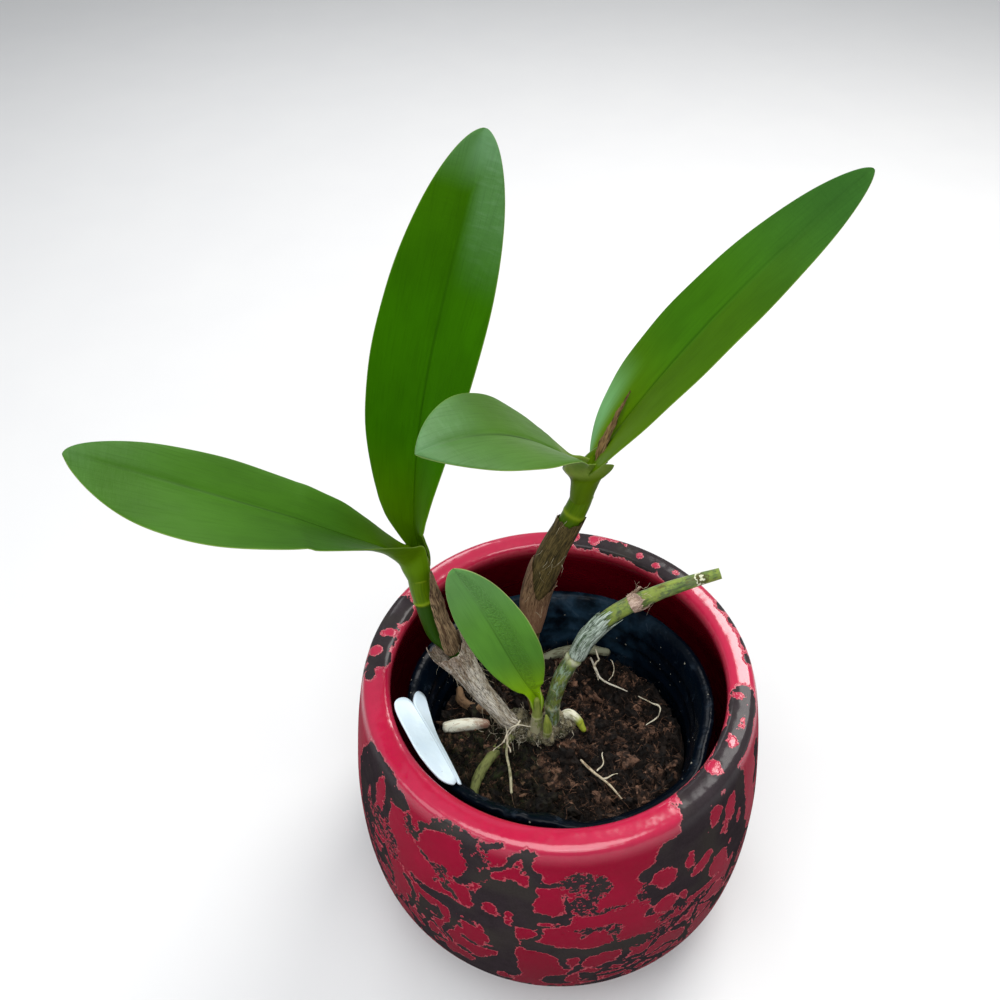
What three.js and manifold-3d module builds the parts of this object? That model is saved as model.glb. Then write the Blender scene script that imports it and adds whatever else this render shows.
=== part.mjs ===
// A cattleya orchid: four long leathery leaves on two sheathed pseudobulbs, one old leafless pseudobulb and
// one young shoot, rooted in bark in a black nursery pot that stands inside a round glazed ceramic pot.
// Millimetres, +Z up. The origin is the centre of the ceramic pot's base. The front of the plant faces -Y.
import * as THREE from 'three';
import { mergeVertices } from 'three/addons/utils/BufferGeometryUtils.js';
import Module from 'manifold-3d';

const wasm = await Module();
wasm.setup();

// ---------- driving dimensions ----------

const GAP = 0.3; // between touching pieces

// ceramic pot, revolved about Z
const CERAMIC_HEIGHT = 129;
const CERAMIC_BELLY_RADIUS = 82.3;
const CERAMIC_FOOT_RADIUS = 46;
const CERAMIC_LIP_OUTER_RADIUS = 73.5;
const CERAMIC_LIP_INNER_RADIUS = 64;
const CERAMIC_FLOOR = 7.2;
const CERAMIC_SEGMENTS = 52;

// nursery pot, revolved about its own axis, leaning back inside the ceramic pot
const NURSERY_HEIGHT = 101;
const NURSERY_RIM_RADIUS = 60;
const NURSERY_WALL_TOP_RADIUS = 57;
const NURSERY_BASE_RADIUS = 42;
const NURSERY_WALL = 1.4;
const NURSERY_FLOOR = 1.7;
const NURSERY_RIM_DEPTH = 4.4;
const NURSERY_RIDGE_HEIGHTS = [91, 84.5, 78];
const NURSERY_RIDGE_REACH = 1.6;
const NURSERY_RIDGE_HEIGHT = 0.7;
const NURSERY_LEAN = THREE.MathUtils.degToRad(7);
const NURSERY_BASE_CENTRE = new THREE.Vector3(1, -11.8, 12.75);
const NURSERY_SEGMENTS = 40;
const DRAIN_HOLES = 6;
const DRAIN_HOLE_RADIUS = 4;
const DRAIN_CIRCLE_RADIUS = 29;

// growing medium inside the nursery pot
const MEDIUM_DEPTH_BELOW_RIM = 28;
const MEDIUM_RELIEF = 2.2;
const MEDIUM_WALL_CLEARANCE = 1.1;
const MEDIUM_EDGE_SINK = 2.5;
const MEDIUM_SEGMENTS = 40;

// stems and roots
const LIMB_END_BULGE = 0.35; // shares of the end's radius
const LIMB_END_NARROWING = 0.6;

// sheaths
const SHEATH_OPENS_AT = 0.6; // share of its length

// leaves
const LEAF_THICKNESS = 2.0;
const LEAF_EDGE_THICKNESS = 0.9;
const LEAF_TIP_THINNING = 0.35; // share of the thickness lost at the tip
const LEAF_TIP_END = 0.994; // share of the spine that the blade reaches
const LEAF_FIRST_STATION = 0.35; // of a station's step
const LEAF_WAVES = 9; // radians of edge wave along the blade
const LEAF_WAVE_SHIFT = 1.5; // radians between its two edges
const CLASP_CLEARANCE = 3.2; // from the stem to the outer one of two leaves that clasp it

// plant label
const LABEL_THICKNESS = 0.9;
const LABEL_FOLD = 0.45;

// ---------- geometry helpers ----------

const vec = (x, y, z) => new THREE.Vector3(x, y, z);

// Shares coincident vertices, drops triangles with no area and turns the faces outward.
function closed(geometry) {
  const plain = geometry.index ? geometry.toNonIndexed() : geometry.clone();
  plain.deleteAttribute('normal');
  plain.deleteAttribute('uv');
  const merged = mergeVertices(plain, 1e-4);
  const position = merged.getAttribute('position');
  const source = merged.index.array;
  const kept = [];
  let volume = 0;
  const a = vec(0, 0, 0);
  const b = vec(0, 0, 0);
  const c = vec(0, 0, 0);
  for (let i = 0; i < source.length; i += 3) {
    const [p, q, r] = [source[i], source[i + 1], source[i + 2]];
    if (p === q || q === r || r === p) {
      continue;
    }
    kept.push(p, q, r);
    a.fromBufferAttribute(position, p);
    b.fromBufferAttribute(position, q);
    c.fromBufferAttribute(position, r);
    volume += a.dot(b.cross(c)) / 6;
  }
  if (volume < 0) {
    for (let i = 0; i < kept.length; i += 3) {
      [kept[i + 1], kept[i + 2]] = [kept[i + 2], kept[i + 1]];
    }
  }
  const result = new THREE.BufferGeometry();
  result.setAttribute('position', position);
  result.setIndex(kept);
  return result;
}

function toSolid(geometry) {
  const whole = closed(geometry);
  return new wasm.Manifold(new wasm.Mesh({
    numProp: 3,
    vertProperties: new Float32Array(whole.getAttribute('position').array),
    triVerts: new Uint32Array(whole.index.array),
  }));
}

function toGeometry(solid) {
  const mesh = solid.getMesh();
  const result = new THREE.BufferGeometry();
  result.setAttribute('position', new THREE.BufferAttribute(new Float32Array(mesh.vertProperties), 3));
  result.setIndex(new THREE.BufferAttribute(new Uint32Array(mesh.triVerts), 1));
  return result;
}

function cut(geometry, ...tools) {
  let solid = toSolid(geometry);
  for (const tool of tools) {
    solid = solid.subtract(toSolid(tool));
  }
  return toGeometry(solid);
}

function join(...geometries) {
  let solid = toSolid(geometries[0]);
  for (const other of geometries.slice(1)) {
    solid = solid.add(toSolid(other));
  }
  return toGeometry(solid);
}

function ball(centre, radius) {
  return new THREE.IcosahedronGeometry(radius, 1).translate(centre.x, centre.y, centre.z);
}

// Skins a row of rings of equal size. A fan closes each end, or else the row closes on itself.
function loft(rings, ends = true) {
  const size = rings[0].length;
  const points = rings.flat();
  const index = [];
  const bands = ends ? rings.length - 1 : rings.length;
  for (let i = 0; i < bands; i += 1) {
    const next = (i + 1) % rings.length;
    for (let j = 0; j < size; j += 1) {
      const k = (j + 1) % size;
      const [p, q] = [i * size + j, i * size + k];
      const [r, s] = [next * size + k, next * size + j];
      index.push(p, q, r, p, r, s);
    }
  }
  if (ends) {
    for (const last of [false, true]) {
      const ring = last ? rings.length - 1 : 0;
      const centre = rings[ring].reduce((sum, p) => sum.add(p), vec(0, 0, 0)).divideScalar(size);
      points.push(centre);
      for (let j = 0; j < size; j += 1) {
        const [p, q] = [ring * size + j, ring * size + ((j + 1) % size)];
        index.push(points.length - 1, last ? p : q, last ? q : p);
      }
    }
  }
  const geometry = new THREE.BufferGeometry().setFromPoints(points);
  geometry.setIndex(index);
  return closed(geometry);
}

function revolve(profile, segments) {
  const smooth = profile.map(([radius, height]) => new THREE.Vector2(radius, height));
  return closed(new THREE.LatheGeometry(smooth, segments).rotateX(Math.PI / 2));
}

// Points and frames along a smooth path, with a side direction carried along without twisting.
function framesAlong(points, steps) {
  const curve = new THREE.CatmullRomCurve3(points, false, 'centripetal');
  const frames = [];
  const side = vec(0.3, -1, 0.1);
  for (let i = 0; i <= steps; i += 1) {
    const t = i / steps;
    const tangent = curve.getTangent(t);
    side.addScaledVector(tangent, -side.dot(tangent)).normalize();
    const up = tangent.clone().cross(side);
    frames.push({ t, centre: curve.getPoint(t), tangent, side: side.clone(), up });
  }
  return frames;
}

function valueAlong(values, t) {
  const place = t * (values.length - 1);
  const i = Math.min(Math.floor(place), values.length - 2);
  return THREE.MathUtils.lerp(values[i], values[i + 1], place - i);
}

function ringAt(frame, centre, radius, sides) {
  const ring = [];
  for (let j = 0; j < sides; j += 1) {
    const angle = (2 * Math.PI * j) / sides;
    ring.push(centre.clone()
      .addScaledVector(frame.side, Math.cos(angle) * radius)
      .addScaledVector(frame.up, Math.sin(angle) * radius));
  }
  return ring;
}

// A stem or root: a round tapering limb with softly rounded ends. grow makes it fatter, for a clearance.
function limb({ points, radii, sides = 10, steps = 12, crown }, grow = 0) {
  const frames = framesAlong(points, steps);
  const rings = [];
  const first = frames[0];
  const last = frames[frames.length - 1];
  const firstRadius = radii[0] + grow;
  const lastRadius = radii[radii.length - 1] + grow;
  const start = first.centre.clone().addScaledVector(first.tangent, -firstRadius * LIMB_END_BULGE - grow);
  rings.push(ringAt(first, start, firstRadius * LIMB_END_NARROWING, sides));
  for (const frame of frames) {
    rings.push(ringAt(frame, frame.centre, valueAlong(radii, frame.t) + grow, sides));
  }
  const end = last.centre.clone().addScaledVector(last.tangent, lastRadius * LIMB_END_BULGE + grow);
  rings.push(ringAt(last, end, lastRadius * LIMB_END_NARROWING, sides));
  return crown ? join(loft(rings), ball(crown.centre, crown.radius + grow)) : loft(rings);
}

// A papery sheath round a stem: a thin sleeve, flared and torn along its upper edge.
function sleeve({ points, innerRadii, wall, flare, tears, sides = 14, steps = 8 }) {
  const frames = framesAlong(points, steps);
  const layers = [];
  for (const [layer, order] of [[wall, frames], [0, [...frames].reverse()]]) {
    for (const frame of order) {
      const ring = ringAt(frame, frame.centre, valueAlong(innerRadii, frame.t) + layer, sides);
      const open = Math.max(0, (frame.t - SHEATH_OPENS_AT) / (1 - SHEATH_OPENS_AT));
      for (let j = 0; j < sides; j += 1) {
        const outward = ring[j].clone().sub(frame.centre).normalize();
        ring[j].addScaledVector(outward, flare * open * open * (0.6 + 0.4 * Math.cos(2 * j)));
        ring[j].addScaledVector(frame.tangent, open * tears * Math.sin(j * 2.4 + 0.7) * Math.cos(j * 0.9));
      }
      layers.push(ring);
    }
  }
  return loft(layers, false);
}

// A leaf blade along a cubic spine, folded upward along its midrib near the base and rounded at its edges.
function leafBlade(leaf, grow = 0) {
  const spine = new THREE.CubicBezierCurve3(...leaf.spine);
  const widest = leaf.fullness[0] / (leaf.fullness[0] + leaf.fullness[1]);
  const rings = [];
  for (let i = 0; i <= leaf.stations; i += 1) {
    const turn = (Math.PI * (i + LEAF_FIRST_STATION)) / (leaf.stations + LEAF_FIRST_STATION);
    const t = (LEAF_TIP_END * (1 - Math.cos(turn))) / 2;
    const centre = spine.getPoint(t);
    const tangent = spine.getTangent(t);
    const face = leaf.faceBase.clone().lerp(leaf.faceTip, t);
    face.addScaledVector(tangent, -face.dot(tangent)).normalize();
    const across = tangent.clone().cross(face);
    const outline = (t / widest) ** leaf.fullness[0] * ((1 - t) / (1 - widest)) ** leaf.fullness[1];
    const fold = THREE.MathUtils.lerp(leaf.foldBase, leaf.foldTip, t);
    const middle = (LEAF_THICKNESS * (1 - LEAF_TIP_THINNING * t)) / 2 + grow;
    const edge = LEAF_EDGE_THICKNESS / 2 + grow;
    const top = [];
    const bottom = [];
    for (let j = 0; j <= leaf.columns; j += 1) {
      const u = (2 * j) / leaf.columns - 1;
      const blade = (leaf.width / 2) * outline * (1 + leaf.skew * Math.sign(u));
      const half = blade + (leaf.neck / 2) * (1 - t) ** 3;
      const reach = Math.abs(u) * half;
      const phase = LEAF_WAVES * t + LEAF_WAVE_SHIFT * Math.sign(u);
      const wave = leaf.wave * u * u * outline * Math.sin(phase);
      const surface = centre.clone()
        .addScaledVector(across, Math.sign(u) * reach * Math.cos(fold))
        .addScaledVector(face, reach * Math.sin(fold) + wave);
      const normal = face.clone().multiplyScalar(Math.cos(fold))
        .addScaledVector(across, -Math.sign(u) * Math.sin(fold)).normalize();
      const thick = THREE.MathUtils.lerp(middle, edge, u * u);
      top.push(surface.clone().addScaledVector(normal, thick));
      bottom.push(surface.clone().addScaledVector(normal, -thick));
      if (j === 0 || j === leaf.columns) {
        const rim = surface.clone().addScaledVector(across, Math.sign(u) * (edge + grow) * Math.cos(fold));
        (j === 0 ? top.unshift(rim) : top.push(rim));
      }
    }
    rings.push([...top, ...bottom.reverse()]);
  }
  return loft(rings);
}

// Smooth pseudo-random relief, the same at every build.
function relief(x, y) {
  return (
    Math.sin(0.31 * x + 1.3) * Math.cos(0.27 * y - 0.4)
    + 0.7 * Math.sin(0.53 * x - 0.35 * y + 2.1)
    + 0.55 * Math.cos(0.82 * x + 0.64 * y)
    + 0.4 * Math.sin(1.13 * y - 0.71 * x + 0.9)
  ) / 2.2;
}

// ---------- ceramic pot ----------

function ceramicPot() {
  const [foot, belly] = [CERAMIC_FOOT_RADIUS, CERAMIC_BELLY_RADIUS];
  const [outer, inner, top] = [CERAMIC_LIP_OUTER_RADIUS, CERAMIC_LIP_INNER_RADIUS, CERAMIC_HEIGHT];
  return revolve([
    [0, 0], [foot - 1.5, 0], [foot, 0.8], [55, 4.8], [63.4, 10.6], [71.4, 17.6], [77.4, 25.8], [80.6, 34.5],
    [belly - 0.4, 45], [belly, 58], [belly - 0.6, 76], [79.9, 93], [77.9, 108], [75.9, 119.5],
    [outer + 0.7, top - 3], [outer, top - 0.9], [outer - 1, top], [inner + 1.6, top], [inner, top - 1.5],
    [inner, top - 7], [69, 108.5], [74.2, 90], [76.2, 66], [74.2, 43], [66.6, 25.5], [55.2, 13.2],
    [44, CERAMIC_FLOOR + 1.2], [34, CERAMIC_FLOOR], [0, CERAMIC_FLOOR],
  ], CERAMIC_SEGMENTS);
}

// ---------- nursery pot and growing medium, both made upright and then leaned back together ----------

const nurseryPlace = new THREE.Matrix4().makeRotationX(-NURSERY_LEAN).setPosition(NURSERY_BASE_CENTRE);

function nurseryWallRadius(height) {
  return THREE.MathUtils.lerp(NURSERY_BASE_RADIUS, NURSERY_WALL_TOP_RADIUS, height / NURSERY_HEIGHT);
}

function nurseryPot() {
  const top = NURSERY_HEIGHT;
  const inside = (height, bump = 0) => [nurseryWallRadius(height) - NURSERY_WALL - bump, height];
  const ridges = [];
  for (const height of NURSERY_RIDGE_HEIGHTS) {
    ridges.push(
      inside(height + NURSERY_RIDGE_REACH),
      inside(height, NURSERY_RIDGE_HEIGHT),
      inside(height - NURSERY_RIDGE_REACH),
    );
  }
  const underRim = top - NURSERY_RIM_DEPTH;
  const body = revolve([
    [0, 0], [NURSERY_BASE_RADIUS - 1.5, 0], [NURSERY_BASE_RADIUS, 1.4],
    [nurseryWallRadius(underRim), underRim - 0.4], [NURSERY_RIM_RADIUS - 0.9, underRim],
    [NURSERY_RIM_RADIUS, underRim + 1], [NURSERY_RIM_RADIUS, top - 1.2], [NURSERY_RIM_RADIUS - 1, top],
    [NURSERY_WALL_TOP_RADIUS, top], inside(top - 1), ...ridges, inside(2 * NURSERY_FLOOR),
    [NURSERY_BASE_RADIUS - 2 * NURSERY_FLOOR, NURSERY_FLOOR], [0, NURSERY_FLOOR],
  ], NURSERY_SEGMENTS);
  const holes = [];
  for (let i = 0; i < DRAIN_HOLES; i += 1) {
    const angle = (2 * Math.PI * (i + 0.5)) / DRAIN_HOLES;
    holes.push(new THREE.CylinderGeometry(DRAIN_HOLE_RADIUS, DRAIN_HOLE_RADIUS, 8, 8)
      .rotateX(Math.PI / 2)
      .translate(Math.cos(angle) * DRAIN_CIRCLE_RADIUS, Math.sin(angle) * DRAIN_CIRCLE_RADIUS, 1));
  }
  return cut(body, ...holes).applyMatrix4(nurseryPlace);
}

// A filled body with a lumpy top, a little hollow next to the wall.
function mediumBody() {
  const surface = NURSERY_HEIGHT - MEDIUM_DEPTH_BELOW_RIM;
  const floor = NURSERY_FLOOR + GAP;
  const radiusAt = (height) => nurseryWallRadius(height) - NURSERY_WALL - MEDIUM_WALL_CLEARANCE;
  const ringOf = (radius, heightAt, turn = 0) => {
    const ring = [];
    for (let j = 0; j < MEDIUM_SEGMENTS; j += 1) {
      const angle = (2 * Math.PI * (j + turn)) / MEDIUM_SEGMENTS;
      const [x, y] = [Math.cos(angle) * radius, Math.sin(angle) * radius];
      ring.push(vec(x, y, heightAt(x, y)));
    }
    return ring;
  };
  const rings = [
    ringOf(radiusAt(floor) - MEDIUM_WALL_CLEARANCE - NURSERY_FLOOR, () => floor),
    ringOf(radiusAt(floor + 3), () => floor + 3),
    ringOf(radiusAt(surface), (x, y) => surface - MEDIUM_EDGE_SINK + MEDIUM_RELIEF * relief(x, y)),
  ];
  for (const share of [0.94, 0.86, 0.77, 0.67, 0.57, 0.47, 0.36, 0.25, 0.13]) {
    const bumps = (x, y) => surface + MEDIUM_RELIEF * relief(x, y);
    rings.push(ringOf(radiusAt(surface) * share, bumps, share / 2));
  }
  return loft(rings).applyMatrix4(nurseryPlace);
}

// ---------- the plant ----------

const rhizomeLine = {
  points: [vec(-21, 1.5, 88), vec(-15, 0, 88.6), vec(-7, -0.5, 88), vec(1, 1, 86.6), vec(7.5, 4, 84.6)],
  radii: [3, 4.6, 5.2, 4.8, 3],
  sides: 10,
  steps: 10,
};

// The rhizome swells where each row of pseudobulbs stands on it.
function rhizomeBody(grow) {
  const swellings = [ball(vec(-15.5, 1.5, 91), 6 + grow), ball(vec(-2, 1.6, 89.5), 6.4 + grow)];
  return join(limb(rhizomeLine, grow), ...swellings);
}

const leftBulb = {
  points: [
    vec(-17.8, -0.5, 94.9), vec(-20.2, 0, 96.6), vec(-24.4, 1.5, 103.8), vec(-29.7, 3.5, 110.8),
    vec(-34.1, 6, 119.8), vec(-38.4, 9, 127.6), vec(-42.1, 11.5, 132.2), vec(-45.8, 13, 136.4),
    vec(-48, 15, 142.4), vec(-49.5, 17.5, 149.4), vec(-51, 19.5, 155.9), vec(-51.2, 22, 163.9),
    vec(-51.1, 24, 169.8),
  ],
  radii: [2.4, 2, 2, 2.3, 2.5, 2.5, 2.7, 3.3, 3.6, 4.1, 4, 4.4, 5.1],
  sides: 10,
  steps: 18,
  crown: { centre: vec(-52.4, 24.2, 171.2), radius: 5.7 },
};

const backBulb = {
  points: [
    vec(-7.3, 5, 93.5), vec(-8.1, 6, 99.6), vec(-9.8, 9, 109.8), vec(-10.3, 15, 121.5), vec(-9.5, 20, 129.2),
    vec(-7.9, 26, 138.8), vec(-6, 29, 144.8), vec(-3.4, 31.5, 151.2), vec(0, 34, 159), vec(3.4, 36, 166),
    vec(5.8, 37.3, 172), vec(7.6, 38.2, 176), vec(9.4, 39.3, 180), vec(11.9, 41, 188.4), vec(13.2, 42, 192.6),
  ],
  radii: [2.6, 2.1, 2.2, 2.5, 2.8, 3.7, 4.1, 4.5, 4.4, 4.1, 4.1, 4.3, 4.5, 4.7, 5.1],
  sides: 10,
  steps: 20,
  crown: { centre: vec(13.4, 42.4, 194), radius: 6.2 },
};

const oldBulb = {
  points: [
    vec(-1.4, 0.2, 93.8), vec(-1.6, 0.6, 104.5), vec(1.5, 2, 119.6), vec(5, 3, 127.9), vec(7.9, 4, 133.4),
    vec(10.7, 4.6, 139.9), vec(14.2, 5.2, 145.9), vec(18.5, 6, 150.8), vec(23, 7, 154.4), vec(28.7, 8, 157.5),
    vec(39.9, 9, 162.8), vec(50.3, 9.6, 166.7), vec(58.4, 10, 169.4),
  ],
  radii: [2.7, 2.7, 2.9, 2.9, 2.6, 2.7, 2.8, 2.7, 2.6, 3.1, 2.7, 2.4, 2.1],
  sides: 10,
  steps: 18,
};

const shootStem = {
  points: [vec(-8.2, -4, 92.5), vec(-8, -3.6, 99), vec(-7.8, -3.2, 106.5), vec(-7.9, -2.9, 113.5)],
  radii: [2.6, 2.3, 1.9, 1.9],
  sides: 10,
  steps: 6,
};

const shootBud = {
  points: [vec(-4.2, -6.6, 93.4), vec(-3.9, -7, 99), vec(-4.1, -7.2, 104), vec(-4.5, -7.3, 108.6)],
  radii: [1.6, 1.9, 1.5, 0.6],
  sides: 8,
  steps: 5,
};

const leaves = {
  leaf_tall: {
    spine: [vec(-50.8, 25, 171), vec(-50.3, 31.7, 227.1), vec(-36.1, 35.3, 266.7), vec(-21.4, 43.3, 320.9)],
    faceBase: vec(-0.75, -0.63, 0.2),
    faceTip: vec(-0.1, -0.96, 0.26),
    width: 37.7,
    neck: 7,
    fullness: [0.6, 0.57],
    skew: -0.03,
    foldBase: 0.56,
    foldTip: 0.09,
    wave: 0.5,
    stations: 20,
    columns: 4,
  },
  leaf_left: {
    spine: [vec(-51.5, 24, 170), vec(-72.4, 9, 194.6), vec(-126.7, 9.1, 224), vec(-147.5, -6.4, 249.3)],
    faceBase: vec(-0.54, 0.03, 0.84),
    faceTip: vec(0.11, -0.31, 0.94),
    width: 37.9,
    neck: 8,
    fullness: [0.86, 0.66],
    skew: -0.29,
    foldBase: 0.79,
    foldTip: -0.03,
    wave: 0.5,
    stations: 20,
    columns: 4,
  },
  leaf_right: {
    spine: [vec(14.5, 43, 193), vec(27.7, 40.5, 224.2), vec(55.2, 52.8, 258.8), vec(96.8, 56.9, 299.3)],
    faceBase: vec(-0.73, 0.11, 0.68),
    faceTip: vec(-0.77, -0.48, 0.43),
    width: 32.8,
    neck: 7,
    fullness: [0.7, 0.65],
    skew: -0.03,
    foldBase: 0.29,
    foldTip: 0.07,
    wave: 0.4,
    stations: 20,
    columns: 4,
  },
  leaf_front: {
    spine: [vec(13, 41, 193), vec(-4.2, 19.5, 220.1), vec(-15, -0.7, 255.6), vec(-42.9, -25.7, 261.4)],
    faceBase: vec(0.22, 0.07, 0.97),
    faceTip: vec(0.39, -0.13, 0.91),
    width: 33.7,
    neck: 9,
    fullness: [1.63, 0.84],
    skew: -0.08,
    foldBase: 0.46,
    foldTip: 0.09,
    wave: 0.3,
    stations: 20,
    columns: 4,
  },
  leaf_small: {
    spine: [vec(-7.7, -2.8, 114.5), vec(-16.9, 0.3, 128.3), vec(-22.2, 1, 153.2), vec(-37.3, 5.4, 181.5)],
    faceBase: vec(-0.27, -0.61, 0.74),
    faceTip: vec(-0.45, -0.56, 0.69),
    width: 28,
    neck: 3,
    fullness: [1.25, 0.58],
    skew: 0.17,
    foldBase: 0.22,
    foldTip: 0.1,
    wave: 0.2,
    stations: 15,
    columns: 4,
  },
};

const roots = {
  root_white_left: {
    points: [vec(-45, 2, 88.5), vec(-39, 3, 88.4), vec(-33, 4, 87.6), vec(-28.5, 4.6, 86.4)],
    radii: [2.3, 2.6, 2.4, 1.8],
  },
  root_brown_left: {
    points: [
      vec(-39.6, 21.5, 86.5), vec(-38.6, 15.5, 87), vec(-34.3, 12, 87.2), vec(-28.9, 10.8, 87),
      vec(-22.6, 9.4, 87), vec(-18, 5.5, 87),
    ],
    radii: [1.4, 2.1, 1.9, 2, 2.1, 2],
  },
  root_green_front: {
    points: [
      vec(-17.5, -2.5, 88), vec(-24.4, -10.5, 88.8), vec(-30, -19, 90), vec(-33, -27, 90.8),
      vec(-34, -33, 88.6),
    ],
    radii: [1.7, 2, 2, 1.9, 1.5],
  },
  root_tip_right: {
    points: [vec(2.5, 5, 87.8), vec(5.5, 6.4, 89), vec(8.8, 3.9, 89.2), vec(11.4, -0.4, 87.6)],
    radii: [1.9, 2.1, 1.8, 1.1],
  },
  root_pale_back: {
    points: [vec(-4, 38.5, 84), vec(5, 41, 85.3), vec(15, 42, 85.6), vec(25, 40.6, 84.8)],
    radii: [1.7, 2.2, 2.3, 1.6],
  },
  root_fine_front: {
    points: [vec(-19.6, -4.6, 91.4), vec(-20.4, -13, 92), vec(-19.2, -22, 92.6), vec(-19, -31, 93)],
    radii: [0.8, 0.75, 0.8, 0.7],
    sides: 6,
  },
  root_fine_right: {
    points: [vec(8.8, -16, 90), vec(13, -22, 91.4), vec(18.4, -28, 92), vec(23, -34, 91.4)],
    radii: [0.7, 0.8, 0.8, 0.7],
    sides: 6,
  },
  root_fine_back: {
    points: [vec(17.6, 37.5, 84), vec(19, 30, 86.2), vec(21.2, 23.5, 85.8), vec(31, 17.5, 85.8)],
    radii: [0.7, 0.8, 0.8, 0.7],
    sides: 6,
  },
};

// A dried flower sheath: a thin pointed blade standing in front of a leaf base.
const flowerSheath = {
  spine: [vec(14.3, 36.2, 202.4), vec(14.6, 35.6, 211), vec(16.9, 35.6, 219.6), vec(21.7, 35.9, 233)],
  faceBase: vec(-0.9, -0.35, 0.3),
  faceTip: vec(-0.9, -0.35, 0.3),
  width: 5,
  neck: 1.2,
  fullness: [0.5, 0.9],
  skew: 0,
  foldBase: 0.35,
  foldTip: 0.1,
  wave: 0,
  stations: 9,
  columns: 2,
};

const leftSheath = {
  points: leftBulb.points.slice(1, 8),
  innerRadii: [2.75, 2.6, 2.8, 3, 3.1, 3.5, 4.1],
  wall: 0.7,
  flare: 2,
  tears: 2.2,
  steps: 9,
};

const backSheath = {
  points: backBulb.points.slice(1, 11),
  innerRadii: [2.55, 2.7, 3, 3.4, 4.3, 4.75, 5.2, 5.05, 4.7, 4.65],
  wall: 0.7,
  flare: 0.3,
  tears: 2.2,
  steps: 13,
};

const oldSheath = {
  points: oldBulb.points.slice(4, 9),
  innerRadii: [3.1, 3.2, 3.3, 3.2, 3.1],
  wall: 0.7,
  flare: 0.1,
  tears: 1.6,
  sides: 12,
  steps: 6,
};

const oldCuff = {
  points: [vec(26.3, 7.6, 156.3), vec(29.2, 8, 157.8), vec(32.4, 8.3, 159.3)],
  innerRadii: [3.4, 3.6, 3.4],
  wall: 0.8,
  flare: 0.8,
  tears: 1.6,
  sides: 12,
  steps: 3,
};

// The dried strip of sheath that clings to the right side of the left pseudobulb.
const sheathStrip = {
  spine: [vec(-41.4, 8.6, 139), vec(-43.2, 11.2, 148.5), vec(-45, 14.8, 157), vec(-46.4, 18.2, 166)],
  faceBase: vec(0.8, -0.5, 0.2),
  faceTip: vec(0.9, -0.4, 0.1),
  width: 6,
  neck: 1.5,
  fullness: [0.4, 0.5],
  skew: 0,
  foldBase: -0.3,
  foldTip: -0.3,
  wave: 0,
  stations: 9,
  columns: 2,
};

// ---------- plant label: a plastic tag creased lengthways, lying across the nursery pot's rim ----------

// Corners are (across, along) the tag, with the crease running between the two wings.
function labelWing(corners, turn) {
  const outline = new THREE.Shape(corners.map(([across, along]) => new THREE.Vector2(across, along)));
  return new THREE.ExtrudeGeometry(outline, { depth: LABEL_THICKNESS, bevelEnabled: false })
    .translate(0, 0, -LABEL_THICKNESS / 2)
    .rotateY(turn);
}

function plantLabel() {
  const creaseFoot = vec(-39.2, -39.2, 120.2);
  const along = vec(-0.475, 0.87, 0.13).normalize();
  const face = vec(0.38, 0.087, 0.921);
  face.addScaledVector(along, -face.dot(along)).normalize();
  const across = along.clone().cross(face);
  const place = new THREE.Matrix4().makeBasis(across, along, face).setPosition(creaseFoot);
  const wide = labelWing([
    [0.3, 0], [0.3, 33.6], [-1, 35.6], [-3, 36.6], [-5.4, 36.2], [-7.6, 34.6], [-9, 30], [-9.6, 22],
    [-9.4, 11], [-6.6, 1], [-2.4, -3],
  ], 0);
  const narrow = labelWing([
    [-0.3, -3], [1.4, -3.4], [1.9, 5], [2.2, 15], [4, 22.6], [6.9, 30.3], [9, 36.4], [8.6, 38.6], [7.2, 39.4],
    [5.2, 38.4], [2.4, 35.6], [-0.3, 33],
  ], LABEL_FOLD);
  return join(wide, narrow).applyMatrix4(place);
}

// ---------- assembly ----------

const group = new THREE.Group();
group.name = 'cattleya_orchid';

function addPiece(name, geometry, color, roughness, metalness = 0) {
  const piece = new THREE.Mesh(geometry, new THREE.MeshStandardMaterial({ color, roughness, metalness }));
  piece.name = name;
  group.add(piece);
}

addPiece('ceramic_pot', ceramicPot(), 0xb3122f, 0.2);
addPiece('nursery_pot', nurseryPot(), 0x10131a, 0.35);

const limbs = { left: leftBulb, back: backBulb, old: oldBulb, shoot: shootStem, bud: shootBud };
const clearances = Object.values(limbs).map((line) => limb(line, GAP));
const rhizomeClearance = rhizomeBody(GAP);
addPiece('rhizome', cut(rhizomeBody(0), ...clearances), 0x8d8468, 0.85);
addPiece('left_pseudobulb', limb(leftBulb), 0x6f9a32, 0.5);
addPiece('back_pseudobulb', limb(backBulb), 0x6f9a32, 0.5);
addPiece('old_pseudobulb', limb(oldBulb), 0x7f9650, 0.6);
addPiece('young_shoot', limb(shootStem), 0x7aa13c, 0.5);
addPiece('shoot_bud', limb(shootBud), 0x86a845, 0.5);
addPiece('left_sheath', sleeve(leftSheath), 0x9a8b72, 0.9);
addPiece('back_sheath', sleeve(backSheath), 0x8a6f4c, 0.9);
addPiece('old_bulb_sheath', sleeve(oldSheath), 0xc9c8b8, 0.9);
addPiece('old_bulb_cuff', sleeve(oldCuff), 0xb59a86, 0.9);
addPiece('left_sheath_strip', leafBlade(sheathStrip), 0x8f7b60, 0.9);
addPiece('flower_sheath', leafBlade(flowerSheath), 0x8c5a34, 0.85);

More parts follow.
